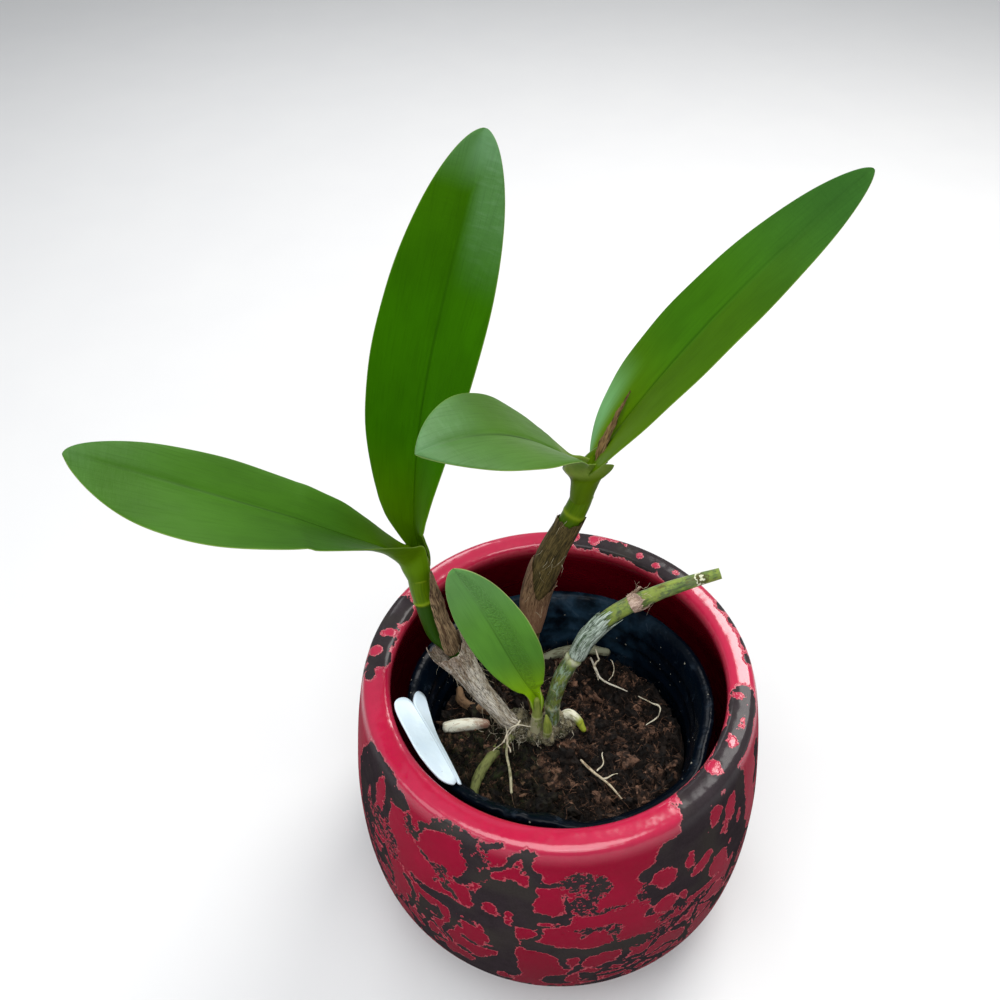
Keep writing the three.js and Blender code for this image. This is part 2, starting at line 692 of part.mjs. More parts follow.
const bladeCuts = {
  leaf_tall: [limb(leftBulb, GAP)],
  leaf_left: [
    limb(leftBulb, GAP),
    leafBlade(leaves.leaf_tall, 1.6 * GAP),
    ball(leftBulb.crown.centre, leftBulb.crown.radius + CLASP_CLEARANCE),
  ],
  leaf_right: [limb(backBulb, GAP)],
  leaf_front: [
    limb(backBulb, GAP),
    leafBlade(leaves.leaf_right, 1.6 * GAP),
    ball(backBulb.crown.centre, backBulb.crown.radius + CLASP_CLEARANCE),
  ],
  leaf_small: [limb(shootStem, GAP)],
};
for (const [name, leaf] of Object.entries(leaves)) {
  addPiece(name, cut(leafBlade(leaf), ...bladeCuts[name]), 0x3f7d26, 0.4);
}

const rootColours = {
  root_white_left: 0xd9d6c4,
  root_brown_left: 0x8a6a4a,
  root_green_front: 0x77844e,
  root_tip_right: 0xc9cca8,
  root_pale_back: 0x9a9c7c,
  root_fine_front: 0xb3a68c,
  root_fine_right: 0xc4b8a2,
  root_fine_back: 0xd0c8b6,
};
const rootClearances = [];
for (const [name, line] of Object.entries(roots)) {
  const spec = { sides: 8, steps: 8, ...line };
  addPiece(name, cut(limb(spec), rhizomeClearance), rootColours[name], 0.8);
  rootClearances.push(limb(spec, GAP));
}

addPiece('plant_label', plantLabel(), 0xe4ecf5, 0.4);
const plantClearances = [rhizomeClearance, ...clearances, ...rootClearances];
addPiece('growing_medium', cut(mediumBody(), ...plantClearances), 0x3a261a, 0.95);

export default group;
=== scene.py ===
"""A cattleya orchid in a mottled glazed pot: its looks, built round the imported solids.

Lengths are in millimetres until a mesh is made from them. +Z is up, the origin is the centre of the glazed
pot's base, and the plant's front faces -Y. Paths are lists of knots (x, y, z, radius).
"""

import math

import bmesh
import bpy
import numpy as np
from mathutils import Matrix, Vector


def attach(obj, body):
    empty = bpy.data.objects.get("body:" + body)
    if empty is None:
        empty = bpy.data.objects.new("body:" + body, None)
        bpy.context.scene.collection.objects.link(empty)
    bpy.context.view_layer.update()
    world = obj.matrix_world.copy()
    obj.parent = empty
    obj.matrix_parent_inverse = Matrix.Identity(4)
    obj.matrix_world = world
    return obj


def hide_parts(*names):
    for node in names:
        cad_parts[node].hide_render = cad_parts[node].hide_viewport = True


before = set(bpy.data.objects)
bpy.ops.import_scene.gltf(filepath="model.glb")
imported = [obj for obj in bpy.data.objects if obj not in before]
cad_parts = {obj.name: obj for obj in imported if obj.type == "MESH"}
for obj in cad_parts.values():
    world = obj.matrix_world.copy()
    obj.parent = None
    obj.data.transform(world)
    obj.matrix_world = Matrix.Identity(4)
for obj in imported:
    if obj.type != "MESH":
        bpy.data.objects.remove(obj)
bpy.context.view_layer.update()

MM = 0.001


# ---------- numbers and noise ----------


def unit(vectors):
    return vectors / np.linalg.norm(vectors, axis=-1, keepdims=True)


def ramp(values, low, high):
    """0 below low, 1 above high and a smooth rise between them. With low above high it falls instead."""
    t = np.clip((values - low) / (high - low), 0, 1)
    return t * t * (3 - 2 * t)


def near(values, place, width):
    """1 at place, fading to 0 about width away."""
    return np.exp(-(((values - place) / width) ** 2))


def blend(ends, share):
    """The value at a share of the way from the first of two ends to the second."""
    return ends[0] + (ends[1] - ends[0]) * share


def xyz(x, y, z):
    """Points from their coordinates, each an array or one number for all."""
    return np.stack(np.broadcast_arrays(x, y, z), axis=-1)


def lattice(i, j, k, seed):
    """A repeatable random number from -1 to 1 for each whole-number place."""
    mixed = (i * 374761393 + j * 668265263 + k * 1440662683 + seed * 974634777) & 0xFFFFFFFF
    mixed = ((mixed ^ (mixed >> 13)) * 1274126177) & 0xFFFFFFFF
    return ((mixed ^ (mixed >> 16)) & 0xFFFF) / 32767.5 - 1.0


def noise(points, size, seed=0):
    """Smooth noise from -1 to 1 whose features are about size across. size may differ for each axis."""
    place = points / np.broadcast_to(size, 3)
    cell = np.floor(place).astype(np.int64)
    share = place - cell
    share = share * share * (3 - 2 * share)
    total = 0.0
    for corner in range(8):
        step = np.array([corner & 1, (corner >> 1) & 1, corner >> 2])
        weight = np.prod(np.where(step == 1, share, 1 - share), axis=-1)
        at = cell + step
        total = total + weight * lattice(at[..., 0], at[..., 1], at[..., 2], seed)
    return total


def rough_noise(points, size, seed=0, octaves=3):
    """Noise with finer and finer detail on it."""
    return sum(noise(points, size / 2**n, seed + n) * 0.55**n for n in range(octaves))


# ---------- meshes ----------


def link(name, data):
    made = bpy.data.objects.new(name, data)
    bpy.context.scene.collection.objects.link(made)
    return made


def make_mesh(name, points, faces):
    """A mesh from points in millimetres and a list of face arrays."""
    mesh = bpy.data.meshes.new(name)
    corners = np.concatenate([group.ravel() for group in faces])
    sizes = np.concatenate([np.full(len(group), group.shape[1]) for group in faces])
    mesh.vertices.add(len(points))
    mesh.vertices.foreach_set("co", (np.asarray(points) * MM).astype(np.float32).ravel())
    mesh.loops.add(len(corners))
    mesh.loops.foreach_set("vertex_index", corners.astype(np.int32))
    mesh.polygons.add(len(sizes))
    mesh.polygons.foreach_set("loop_start", np.r_[0, np.cumsum(sizes)[:-1]].astype(np.int32))
    mesh.update(calc_edges=True)
    return mesh


def add_piece(name, body, material, replaces=(), smooth=True):
    """Shows a body, which is its points, its face arrays and its values at the points, riding on root."""
    points, faces, values = body
    mesh = make_mesh(name, points, faces)
    mesh.polygons.foreach_set("use_smooth", np.full(len(mesh.polygons), smooth))
    for key, array in values.items():
        array = np.asarray(array, np.float32)
        kind = ("FLOAT", "value") if array.ndim == 1 else ("FLOAT_VECTOR", "vector")
        mesh.attributes.new(key, kind[0], "POINT").data.foreach_set(kind[1], array.ravel())
    mesh.validate()
    mesh.materials.append(material)
    piece = link(name, mesh)
    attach(piece, "root")
    if replaces:
        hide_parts(*replaces)
    return piece


def applied(piece):
    """A new mesh: the piece's own with its modifiers applied."""
    return bpy.data.meshes.new_from_object(piece.evaluated_get(bpy.context.evaluated_depsgraph_get()))


def grid_faces(rows, columns, flip=False):
    """Quads between the neighbours of a rows by columns grid of points that closes round its columns."""
    i, j = np.meshgrid(np.arange(rows - 1), np.arange(columns), indexing="ij")
    k = (j + 1) % columns
    near_row, far_row = i * columns, (i + 1) * columns
    quads = np.stack([near_row + j, near_row + k, far_row + k, far_row + j], axis=-1).reshape(-1, 4)
    return quads[:, ::-1] if flip else quads


def skin(rings, values):
    """A body from a stack of rings, shaped (rows, columns, 3), that is closed with a fan at each end."""
    rows, columns, _ = rings.shape
    points = np.concatenate([rings.reshape(-1, 3), rings[:1].mean(axis=1), rings[-1:].mean(axis=1)])
    j = np.arange(columns)
    k = (j + 1) % columns
    last = (rows - 1) * columns
    start_fan = np.stack([np.full(columns, rows * columns), k, j], axis=-1)
    end_fan = np.stack([np.full(columns, rows * columns + 1), last + j, last + k], axis=-1)
    closed_values = {}
    for key, array in values.items():
        flat = array.reshape(rows * columns, *array.shape[2:])
        closed_values[key] = np.concatenate([flat, array[:1].mean(axis=1), array[-1:].mean(axis=1)])
    return points, [grid_faces(rows, columns), np.concatenate([start_fan, end_fan])], closed_values


def merge(parts):
    """Joins several bodies into one."""
    points, _, values = zip(*parts)
    shifts = np.r_[0, np.cumsum([len(group) for group in points])[:-1]]
    by_size = {}
    for (_, faces, _), shift in zip(parts, shifts):
        for group in faces:
            by_size.setdefault(group.shape[1], []).append(group + shift)
    faces = [np.concatenate(groups) for groups in by_size.values()]
    return np.concatenate(points), faces, {key: np.concatenate([v[key] for v in values]) for key in values[0]}


# ---------- paths and tubes ----------

ACROSS = (0.3, -1, 0.1)  # angle 0 round a path faces this way at its start
FINE = 400  # points along a path that shares of its length are read from
SPAN_STEPS = 24  # points from one knot to the next while a curve's length is measured


def spline(knots, count):
    """count points evenly spaced along a smooth curve through knots, with further columns carried along."""
    knots = np.asarray(knots, float)
    padded = np.vstack([2 * knots[0] - knots[1], knots, 2 * knots[-1] - knots[-2]])
    t = np.linspace(0, 1, SPAN_STEPS, endpoint=False)[:, None]
    spans = []
    for a, b, c, d in zip(padded, padded[1:], padded[2:], padded[3:]):
        bend = 2 * a - 5 * b + 4 * c - d + t * (3 * b - a - 3 * c + d)
        spans.append(b + 0.5 * t * (c - a + t * bend))
    fine = np.vstack([*spans, knots[-1:]])
    gone = length_along(fine[:, :3])
    at = np.linspace(0, gone[-1], count)
    return np.stack([np.interp(at, gone, column) for column in fine.T], axis=1)


def frames_along(path):
    """The direction of a path at each point and two directions across it that don't twist."""
    tangent = unit(np.gradient(path, axis=0))
    side = np.empty_like(path)
    current = np.asarray(ACROSS, float)
    for i, direction in enumerate(tangent):
        current = current - (current @ direction) * direction
        current = current / np.linalg.norm(current)
        side[i] = current
    return tangent, side, np.cross(tangent, side)


def outward(angle, side, up):
    """The direction at each angle, from angle 0 at side towards up."""
    return np.cos(angle)[..., None] * side + np.sin(angle)[..., None] * up


def length_along(path):
    return np.r_[0, np.cumsum(np.linalg.norm(np.diff(path, axis=0), axis=1))]


def tube(knots, steps, sides, swell=None, bulge=(0.4, 0.4)):
    """A round limb. swell(along, angle, share) adds to its radius. bulge is how far each end is domed. Its
    values are flow, a place in the straightened limb in metres, and share, from 0 to 1 along it."""
    line = spline(knots, steps)
    path, radius = line[:, :3], line[:, 3]
    tangent, side, up = frames_along(path)
    gone = length_along(path)
    angle, along = np.meshgrid(2 * np.pi * np.arange(sides) / sides, gone)
    share = along / gone[-1]
    reach = radius[:, None] + (swell(along, angle, share) if swell else 0)
    rings = path[:, None] + reach[..., None] * outward(angle, side[:, None], up[:, None])
    flow = xyz(reach * np.cos(angle), reach * np.sin(angle), along)
    grown = [rings, flow, share]
    for end, amount in zip((0, -1), bulge):
        caps = []
        for turn in (0.45, 0.85, 1.2, 1.45):
            narrow, rise = math.cos(turn), math.sin(turn)
            centre = path[end] + tangent[end] * amount * radius[end] * rise * (1 if end else -1)
            ring = centre + (rings[end] - path[end]) * narrow
            caps.append((ring, flow[end] * [narrow, narrow, 1], share[end]))
        for i, cap in enumerate(np.array(column) for column in zip(*caps)):
            grown[i] = np.concatenate([grown[i], cap] if end else [cap[::-1], grown[i]])
    rings, flow, share = grown
    return skin(rings, {"flow": flow * MM, "share": share})


def lathe(profile, segments):
    """Rings round +Z from a profile of (radius, height), with the azimuth of their points in degrees and the
    length along the profile. Azimuth 0 is the front, and it grows towards +X."""
    azimuth = 2 * np.pi * np.arange(segments) / segments
    profile = np.asarray(profile, float)
    radius, height = profile.T[..., None]
    arc = np.repeat(length_along(profile)[:, None], segments, axis=1)
    rings = xyz(radius * np.sin(azimuth), -radius * np.cos(azimuth), height)
    return rings, np.degrees(azimuth)[None, :] + 0 * arc, arc


# ---------- node materials ----------


def rgb(red, green, blue):
    """A colour given as it looks on screen, from 0 to 255, as the linear values that shaders use."""
    screen = np.array([red, green, blue]) / 255
    linear = np.where(screen <= 0.04045, screen / 12.92, ((screen + 0.055) / 1.055) ** 2.4)
    return (*linear.tolist(), 1.0)


class Paint:
    """A procedural material built node by node. Sizes and depths are in millimetres, and colours are (red,
    green, blue) as they look on screen. Names of the shader's sockets have _ for a space."""

    def __init__(self, name, **constants):
        self.material = bpy.data.materials.new(name)
        self.material.use_nodes = True
        self.tree = self.material.node_tree
        self.finish(**constants)

    def put(self, socket, value):
        if isinstance(value, bpy.types.NodeSocket):
            self.tree.links.new(value, socket)
        else:
            socket.default_value = value

    def finish(self, **sockets):
        shader = self.tree.nodes["Principled BSDF"]
        for socket, value in sockets.items():
            self.put(shader.inputs[socket.replace("_", " ")], value)
        return self.material

    def make(self, kind, inputs, **settings):
        made = self.tree.nodes.new(kind)
        for key, value in settings.items():
            setattr(made, key, value)
        for key, value in inputs.items():
            self.put(made.inputs[key], value)
        return made.outputs

    def node(self, kind, inputs, output=0, **settings):
        return self.make(kind, inputs, **settings)[output]

    def place(self):
        return self.node("ShaderNodeTexCoord", {}, "Object")

    def value(self, name):
        return self.node("ShaderNodeAttribute", {}, "Fac", attribute_name=name)

    def vector(self, operation, a, b):
        return self.node("ShaderNodeVectorMath", {0: a, 1: b}, operation=operation)

    def flow(self, x, y, z):
        """Places in the straightened piece, stretched along each axis."""
        flow = self.node("ShaderNodeAttribute", {}, "Vector", attribute_name="flow")
        return self.vector("MULTIPLY", flow, (x, y, z))

    def math(self, operation, a, b=0.0):
        return self.node("ShaderNodeMath", {0: a, 1: b}, operation=operation)

    def add(self, a, b):
        return self.math("ADD", a, b)

    def less(self, a, b):
        return self.math("SUBTRACT", a, b)

    def times(self, a, b):
        return self.math("MULTIPLY", a, b)

    def most(self, a, b):
        return self.math("MAXIMUM", a, b)

    def mix(self, share, a, b, mode="MIX"):
        a, b = (rgb(*colour) if isinstance(colour, tuple) else colour for colour in (a, b))
        return self.node("ShaderNodeMix", {0: share, 6: a, 7: b}, 2, data_type="RGBA", blend_type=mode)

    def layers(self, colour, *coats):
        """A colour with coats laid over it, each (where it lies from 0 to 1, how strongly, its colour)."""
        for where, strength, over, *mode in coats:
            share = where if strength == 1 else self.times(where, strength)
            colour = self.mix(share, colour, over, *mode)
        return colour

    def span(self, value, low, high, to_low=0.0, to_high=1.0):
        """A smooth change from to_low, where value is low, to to_high, where it is high."""
        inputs = {"Value": value, "From Min": low, "From Max": high, "To Min": to_low, "To Max": to_high}
        return self.node("ShaderNodeMapRange", inputs, interpolation_type="SMOOTHSTEP")

    def within(self, value, rise, fall):
        """1 between a smooth rise and a smooth fall, each given by the values where it starts and ends."""
        return self.times(self.span(value, *rise), self.span(value, *fall))

    def texture(self, kind, size, where, inputs, **settings):
        inputs = {"Vector": where or self.place(), "Scale": 1 / (size * MM), **inputs}
        return self.make("ShaderNodeTex" + kind, inputs, **settings)

    def noise(self, size, detail=2.0, where=None, roughness=0.55, distortion=0.0):
        inputs = {"Detail": detail, "Roughness": roughness, "Distortion": distortion}
        return self.texture("Noise", size, where, inputs)[0]

    def wobble(self, size, amount, detail=2.0):
        """Noise from about -amount to amount."""
        return self.times(self.less(self.noise(size, detail), 0.5), 2.6 * amount)

    def bent(self, size, amount):
        """Places pushed about by noise, by up to about some amount, so that shapes made with them wander."""
        noise = self.texture("Noise", size, None, {"Detail": 2.0})[1]
        push = self.vector("MULTIPLY", self.vector("SUBTRACT", noise, (0.5,) * 3), (2.6 * amount * MM,) * 3)
        return self.vector("ADD", self.place(), push)

    def cells(self, size, where=None, feature="F1"):
        return self.texture("Voronoi", size, where, {}, feature=feature)["Distance"]

    def specks(self, spacing, radius, share):
        """1 inside small spots of about radius, at a share of places about spacing apart."""
        cells = self.texture("Voronoi", spacing, None, {})
        spots = self.span(cells["Distance"], radius / spacing * 1.2, radius / spacing * 0.8)
        pick = self.node("ShaderNodeSeparateColor", {0: cells["Color"]}, 0)
        return self.times(spots, self.math("LESS_THAN", pick, share))

    def bump(self, height, depth, under=None):
        inputs = {"Height": height, "Distance": depth * MM, "Strength": 1.0}
        if under is not None:
            inputs["Normal"] = under
        return self.node("ShaderNodeBump", inputs)


# ---------- camera, light and floor ----------

CAMERA_PLACE = (-20, -228, 439)
CAMERA_PITCH = 44  # degrees below the horizon
CAMERA_ROLL = -1.7
SENSOR = 36  # the lens is as long as the sensor is wide, so the view is about 53 degrees
SOFTBOX_AIM = (0, 0, 120)
# name, place, width, watts, colour
SOFTBOXES = [
    ("sky_panel", (-40, -260, 1220), 950, 8.7, (1, 1, 1)),
    ("front_panel", (120, -860, 1060), 620, 2.6, (1, 1, 1)),
    ("back_window", (-260, 950, 760), 380, 1.7, (0.96, 0.98, 1)),
    ("key", (430, 540, 900), 560, 7.5, (1, 0.98, 0.95)),
    ("fill", (-700, -420, 620), 700, 2.4, (0.95, 0.98, 1)),
]
FLOOR_HALF = 1500


def add_camera():
    data = bpy.data.cameras.new("camera")
    data.sensor_width = SENSOR
    data.lens = SENSOR
    data.clip_start = 0.01
    camera = link("camera", data)
    turn = Matrix.Rotation(math.radians(90 - CAMERA_PITCH), 4, "X")
    roll = Matrix.Rotation(math.radians(CAMERA_ROLL), 4, "Z")
    camera.matrix_world = Matrix.Translation(Vector(CAMERA_PLACE) * MM) @ turn @ roll
    bpy.context.scene.camera = camera


def add_softbox(name, place, size, watts, colour):
    data = bpy.data.lights.new(name, "AREA")
    data.shape = "DISK"
    data.size = size * MM
    data.energy = watts
    data.color = colour
    light = link(name, data)
    light.location = Vector(place) * MM
    light.rotation_euler = (Vector(SOFTBOX_AIM) - Vector(place)).to_track_quat("-Z", "Y").to_euler()


def add_studio():
    world = bpy.data.worlds.new("soft_sky")
    world.use_nodes = True
    background = world.node_tree.nodes["Background"]
    background.inputs["Color"].default_value = (0.94, 0.97, 1.0, 1.0)
    background.inputs["Strength"].default_value = 0.47
    bpy.context.scene.world = world
    bpy.context.scene.view_settings.view_transform = "Standard"
    for softbox in SOFTBOXES:
        add_softbox(*softbox)

    corners = np.array([[-1, -1, 0], [1, -1, 0], [1, 1, 0], [-1, 1, 0]]) * FLOOR_HALF
    mesh = make_mesh("floor", corners, [np.array([[0, 1, 2, 3]])])
    paint = Paint("floor_paint", Roughness=0.8)
    colour = paint.mix(paint.noise(60), (211, 211, 212), (215, 215, 215))
    mesh.materials.append(paint.finish(Base_Color=colour))
    floor = link("floor", mesh)


# ---------- glazed pot ----------

POT_RADIUS = 82.3
POT_HEIGHT = 129
FOOT_RADIUS = 46
POT_OUTER = [
    (0, 0), (30, 0), (44.5, 0), (46, 0.8), (55, 4.8), (63.4, 10.6), (71.4, 17.6), (77.4, 25.8), (80.6, 34.5),
    (81.9, 45), (82.3, 58), (81.7, 76), (79.9, 93), (77.9, 108), (75.9, 119.5), (74.6, 125), (73.4, 128),
    (71, 129), (67, 128.9), (64.9, 128.4),
]
POT_INNER = [
    (64, 127), (64.1, 122), (69, 108.5), (74.2, 90), (76.2, 66), (74.2, 43), (66.6, 25.5), (55.2, 13.2),
    (44, 8.4), (34, 7.2), (0, 7.2),
]

# Bare ground showing through the glaze: (azimuth, arc above the foot, half width, half height, lean if any).
# Azimuths, half widths and leans are in degrees, arcs and half heights in millimetres.
BARE_PATCHES = [
    # arch at the left
    (-71.5, 119, 4.4, 16, -8), (-66, 137, 5, 7.5, -30), (-66, 129, 4.5, 10), (-59, 141, 7, 5),
    (-51, 137, 4, 5.5, 35), (-55.8, 129, 1.9, 10), (-70, 104, 3, 9, -5), (-63, 118, 1.6, 8),
    # the knot under the lip, the broad patch below it and its trunk
    (-11, 142.4, 2.6, 2.8), (-15, 119.5, 8.4, 9.5), (-21, 111, 4, 4.5), (-11, 109, 7.4, 8),
    (-17, 101, 8.5, 6), (-33, 100, 12.5, 3.4), (-4.5, 107.5, 4.2, 2.6), (-16, 93, 6, 8), (-17.2, 82, 4.4, 9),
    (-17.6, 72, 5, 8), (-19, 64, 6, 8), (-23, 54, 7.5, 7), (-28, 92, 3, 4),
    # low down in the middle
    (-2, 59, 5.5, 5.5), (11, 53, 6, 3), (-33, 57, 6, 5),
    # broad patch at the right
    (22, 127, 4.6, 4.5), (27, 132, 6, 8), (38, 134, 9.5, 12), (37, 143, 6, 4), (52, 131, 6, 14),
    (29, 117, 9, 10), (42, 115, 10, 10), (55, 113, 4.2, 14), (29, 103, 7.4, 7), (42, 101, 9, 6),
    (55.5, 97, 4.5, 9), (47, 70, 4, 6, -20), (51, 84, 2.4, 7, -10),
    # the lip: right, behind and left
    (37, 149.5, 5, 5), (48, 149.5, 9, 6), (62, 149.5, 9, 6), (75, 149.5, 7, 6), (92, 146, 1.5, 1.2),
    (98, 146, 1.8, 1.4), (106, 146, 2.2, 1.5), (113, 146, 2.2, 1.8), (132, 149.5, 7, 6), (144, 149.5, 10, 6),
    (158, 149.5, 8, 6), (167, 149.5, 6, 6), (243, 149.5, 6, 6), (254, 149, 6, 6), (263, 150, 4, 5),
    (270, 147, 2, 2),
]
# Bare cracks between lobes of glaze, as (half width, places along as (azimuth, arc)).
BARE_CRACKS = [
    # loop round the big lobe at the left of the middle
    (1.0, [(-46, 133), (-44, 124), (-43, 129), (-41, 136), (-37.5, 140.5)]),
    (1.7, [(-38, 140.5), (-34, 143), (-28, 143.2), (-21.5, 142.5), (-18.5, 144)]),
    (2.1, [(-27.5, 142), (-26.5, 135), (-24, 128), (-26, 121), (-29, 117)]),
    (1.5, [(-25.5, 140), (-22.5, 133), (-21.5, 127)]),
    (0.9, [(-43.5, 122.5), (-38, 119.5), (-33, 121), (-28, 117), (-24, 114)]),
    (0.9, [(-36, 119.5), (-34.6, 113), (-31, 108), (-28, 103)]),
    # fork under the knot
    (1.2, [(-12, 143), (-15.2, 139.6), (-15.9, 135.6), (-20.2, 131.2), (-22.5, 125)]),
    (2.0, [(-10.6, 142), (-10.6, 137), (-7.4, 132.6), (-8.9, 127), (-9, 122)]),
    (0.8, [(-15.6, 137), (-12.6, 135.4), (-11.8, 132.4)]),
    (1.3, [(-9, 130), (-5, 128.2), (-1.5, 129.5)]),
    # round the lobes right of the patch
    (1.1, [(-7.5, 112), (-4, 110.2), (-0.6, 112), (0.6, 118), (-0.4, 124)]),
    (1.2, [(-7, 103), (-6.2, 97), (-8.5, 91.5)]),
    (3.4, [(-9, 90), (-3, 87), (4, 85), (12, 85.3), (19, 87)]),
    (1.2, [(-3, 85), (-1.8, 77), (-0.4, 71.5)]),
    (1.2, [(3.5, 84), (3, 76), (2.4, 69), (0, 63)]),
    (1.2, [(2.6, 72), (8, 70.5), (13.5, 73), (15, 79), (14.4, 84)]),
    (1.4, [(15, 74), (20, 73), (22, 79), (25, 84)]),
    (1.0, [(4, 96), (5, 100), (9, 101.5), (12, 98), (13, 91)]),
    (1.3, [(17, 86), (25, 82), (32, 79), (34.5, 70), (33, 62)]),
    (1.5, [(6, 63), (13, 62), (20, 64), (27, 60), (34, 56)]),
    # left of the trunk
    (1.3, [(-31, 98), (-30.6, 91), (-31.4, 84), (-33, 77), (-31, 69)]),
    (1.2, [(-46, 97), (-43.5, 89), (-45, 80)]),
    (1.3, [(-18, 79), (-24, 78), (-27.5, 81)]),
    (1.4, [(-20, 66), (-26, 66.5), (-30, 70)]),
]
# Bare ground broken into fine specks by the glaze crawling back over it.
LACY_PATCHES = [
    (-31, 143, 7, 2.6), (-25, 135, 2.6, 6), (-20, 138, 1.6, 3, -20), (-34, 119, 3, 1.8), (-33, 113, 2, 2),
    (1.5, 129.5, 4.6, 4.4), (6.5, 127, 2.2, 5), (3.6, 117, 2.4, 5.5), (9.5, 113.3, 3.6, 1.0),
    (6.5, 100.6, 5, 1.9), (12.5, 97, 1.6, 4), (16, 86, 5, 3.8), (25, 86, 5.5, 3.4), (-62, 108, 6, 7),
    (-57, 113, 4, 6), (-66, 94, 5, 9), (-52, 106, 3, 8), (28, 95, 4, 2.6), (37, 90, 4, 3), (20, 116, 1.4, 4),
    (-46, 128, 1.6, 4),
]
# Islands of glaze that stand on the bare ground.
GLAZE_ISLANDS = [
    (-58.8, 131, 2, 8.6), (-19.6, 108.2, 2.4, 3.6, 35), (-14.3, 108.6, 1.2, 1.6), (-14.3, 102.8, 1.2, 1.9),
    (-5.4, 106, 1.5, 1.5), (-9.8, 97.3, 3.0, 4.8, 30), (-4.6, 117.6, 3.8, 6), (-18.4, 137.6, 3.4, 5.4, 40),
    (-12.4, 133, 2.5, 3.2, -30), (-25.2, 89.5, 2.6, 5, 42), (-23, 76.5, 4.4, 4.6, 40), (-32.5, 91.5, 2.6, 4),
    (-11.4, 78, 2.6, 12, -8), (-31.5, 62, 2, 4, 10), (-36, 66, 1.6, 4, 10), (-18, 55, 1.8, 3),
    (-34, 134, 6.5, 6.5), (25.6, 120, 3.5, 6.4, 20), (33.2, 122.4, 1.5, 5.2), (42.5, 133.5, 2.6, 5.6),
    (49.6, 129.4, 2.8, 5.8), (46.8, 121, 1.7, 3.4), (38, 113.6, 3.6, 3.6, 30), (35, 109.6, 1.6, 2.4),
    (26, 102.6, 2.9, 5.4, 10), (31.7, 101.4, 1.3, 2.8), (44.3, 102.6, 3.6, 7.4, 10), (47.5, 90, 3.2, 8),
    (54.5, 118, 1.2, 4), (8.4, 94, 2.9, 5.6, 25), (9.4, 77.2, 4.2, 4.4), (-4.5, 76, 2.2, 5.4),
    (18.4, 79, 2.4, 3), (3, 60, 2.6, 3.4), (27.5, 74, 4, 4, 30), (33.5, 152, 1.2, 2), (50, 151, 2.5, 3),
    (61, 150.5, 2.6, 1.6, 20), (68, 149.5, 2, 1.3), (78, 151.5, 1.6, 2.6), (132, 149, 1.1, 1.7),
    (139, 151, 1.4, 2), (146, 150.5, 1.3, 2), (152, 147.5, 1, 1), (159, 147.3, 3, 1.6), (164, 150, 2, 3),
    (171, 149, 1.6, 4), (253, 151, 1.8, 4, 10), (261, 148, 2, 3),
]
# Where the glaze has drawn up into rounded lobes with thin bare veins between them.
VEINED_ZONES = [
    (-64, 84, 13, 24), (-42, 68, 10, 18), (-60, 60, 14, 20), (-38, 88, 6, 8), (20, 62, 22, 11),
    (38, 82, 12, 12), (58, 80, 10, 20), (0, 46, 60, 8), (-34, 110, 7, 4),
]
LIP_ARC = (154.2, 156.0)  # where the glaze breaks to a pale line at the lip's inner edge
INNER_ARC = 156.5
RAGGED_ARC = 143  # marks keep their outlines above this, on the lip
NO_DEPTH = -30


def back_marks(clusters, seed, widths, heights):
    """Clusters of overlapping marks strewn by a rule over the pot's back, and round its lower part, where
    none is placed by name."""
    rng = np.random.default_rng(seed)
    marks = []
    while clusters > 0:
        azimuth = rng.uniform(-180, 180)
        arc = rng.uniform(18, 140)
        if -82 < azimuth < 64 and arc > 48:
            continue
        clusters -= 1
        size = rng.uniform(0, 1) ** 1.3
        for _ in range(rng.integers(2, 6)):
            half_width = blend(widths, size) * rng.uniform(0.4, 1.0)
            half_height = blend(heights, size) * rng.uniform(0.4, 1.0)
            aside = azimuth + rng.normal() * half_width * 1.1
            above = min(arc + rng.normal() * half_height * 1.1, RAGGED_ARC)
            marks.append((aside, above, half_width, half_height, rng.uniform(-40, 40)))
    return marks


def turned_by(azimuth, centre):
    """How far each azimuth is from centre the short way round, in millimetres on the pot."""
    return np.radians((azimuth - centre + 180) % 360 - 180) * POT_RADIUS


def depth_in(marks, azimuth, arc):
    """How far inside the nearest mark each place is, in millimetres. It is negative outside them."""
    sharpness = 0.9
    total = np.full(azimuth.shape, 1e-9)
    for centre, height, half_width, half_height, *lean in marks:
        across, rise = turned_by(azimuth, centre), arc - height
        half_across = math.radians(half_width) * POT_RADIUS
        turn = math.radians(lean[0] if lean else 0)
        c, s = math.cos(turn), math.sin(turn)
        reach = np.hypot((across * c + rise * s) / half_across, (rise * c - across * s) / half_height)
        total += np.exp(sharpness * np.maximum((1 - reach) * min(half_across, half_height), -20))
    return np.log(total) / sharpness


def depth_in_cracks(cracks, azimuth, arc):
    """How far inside the nearest crack each place is, in millimetres. It is negative outside them."""
    deepest = np.full(azimuth.shape, float(NO_DEPTH))
    for half_width, places in cracks:
        for (azimuth_a, arc_a), (azimuth_b, arc_b) in zip(places, places[1:]):
            run, climb = math.radians(azimuth_b - azimuth_a) * POT_RADIUS, arc_b - arc_a
            x, y = turned_by(azimuth, azimuth_a), arc - arc_a
            share = np.clip((x * run + y * climb) / (run * run + climb * climb), 0, 1)
            deepest = np.maximum(deepest, half_width - np.hypot(x - share * run, y - share * climb))
    return deepest


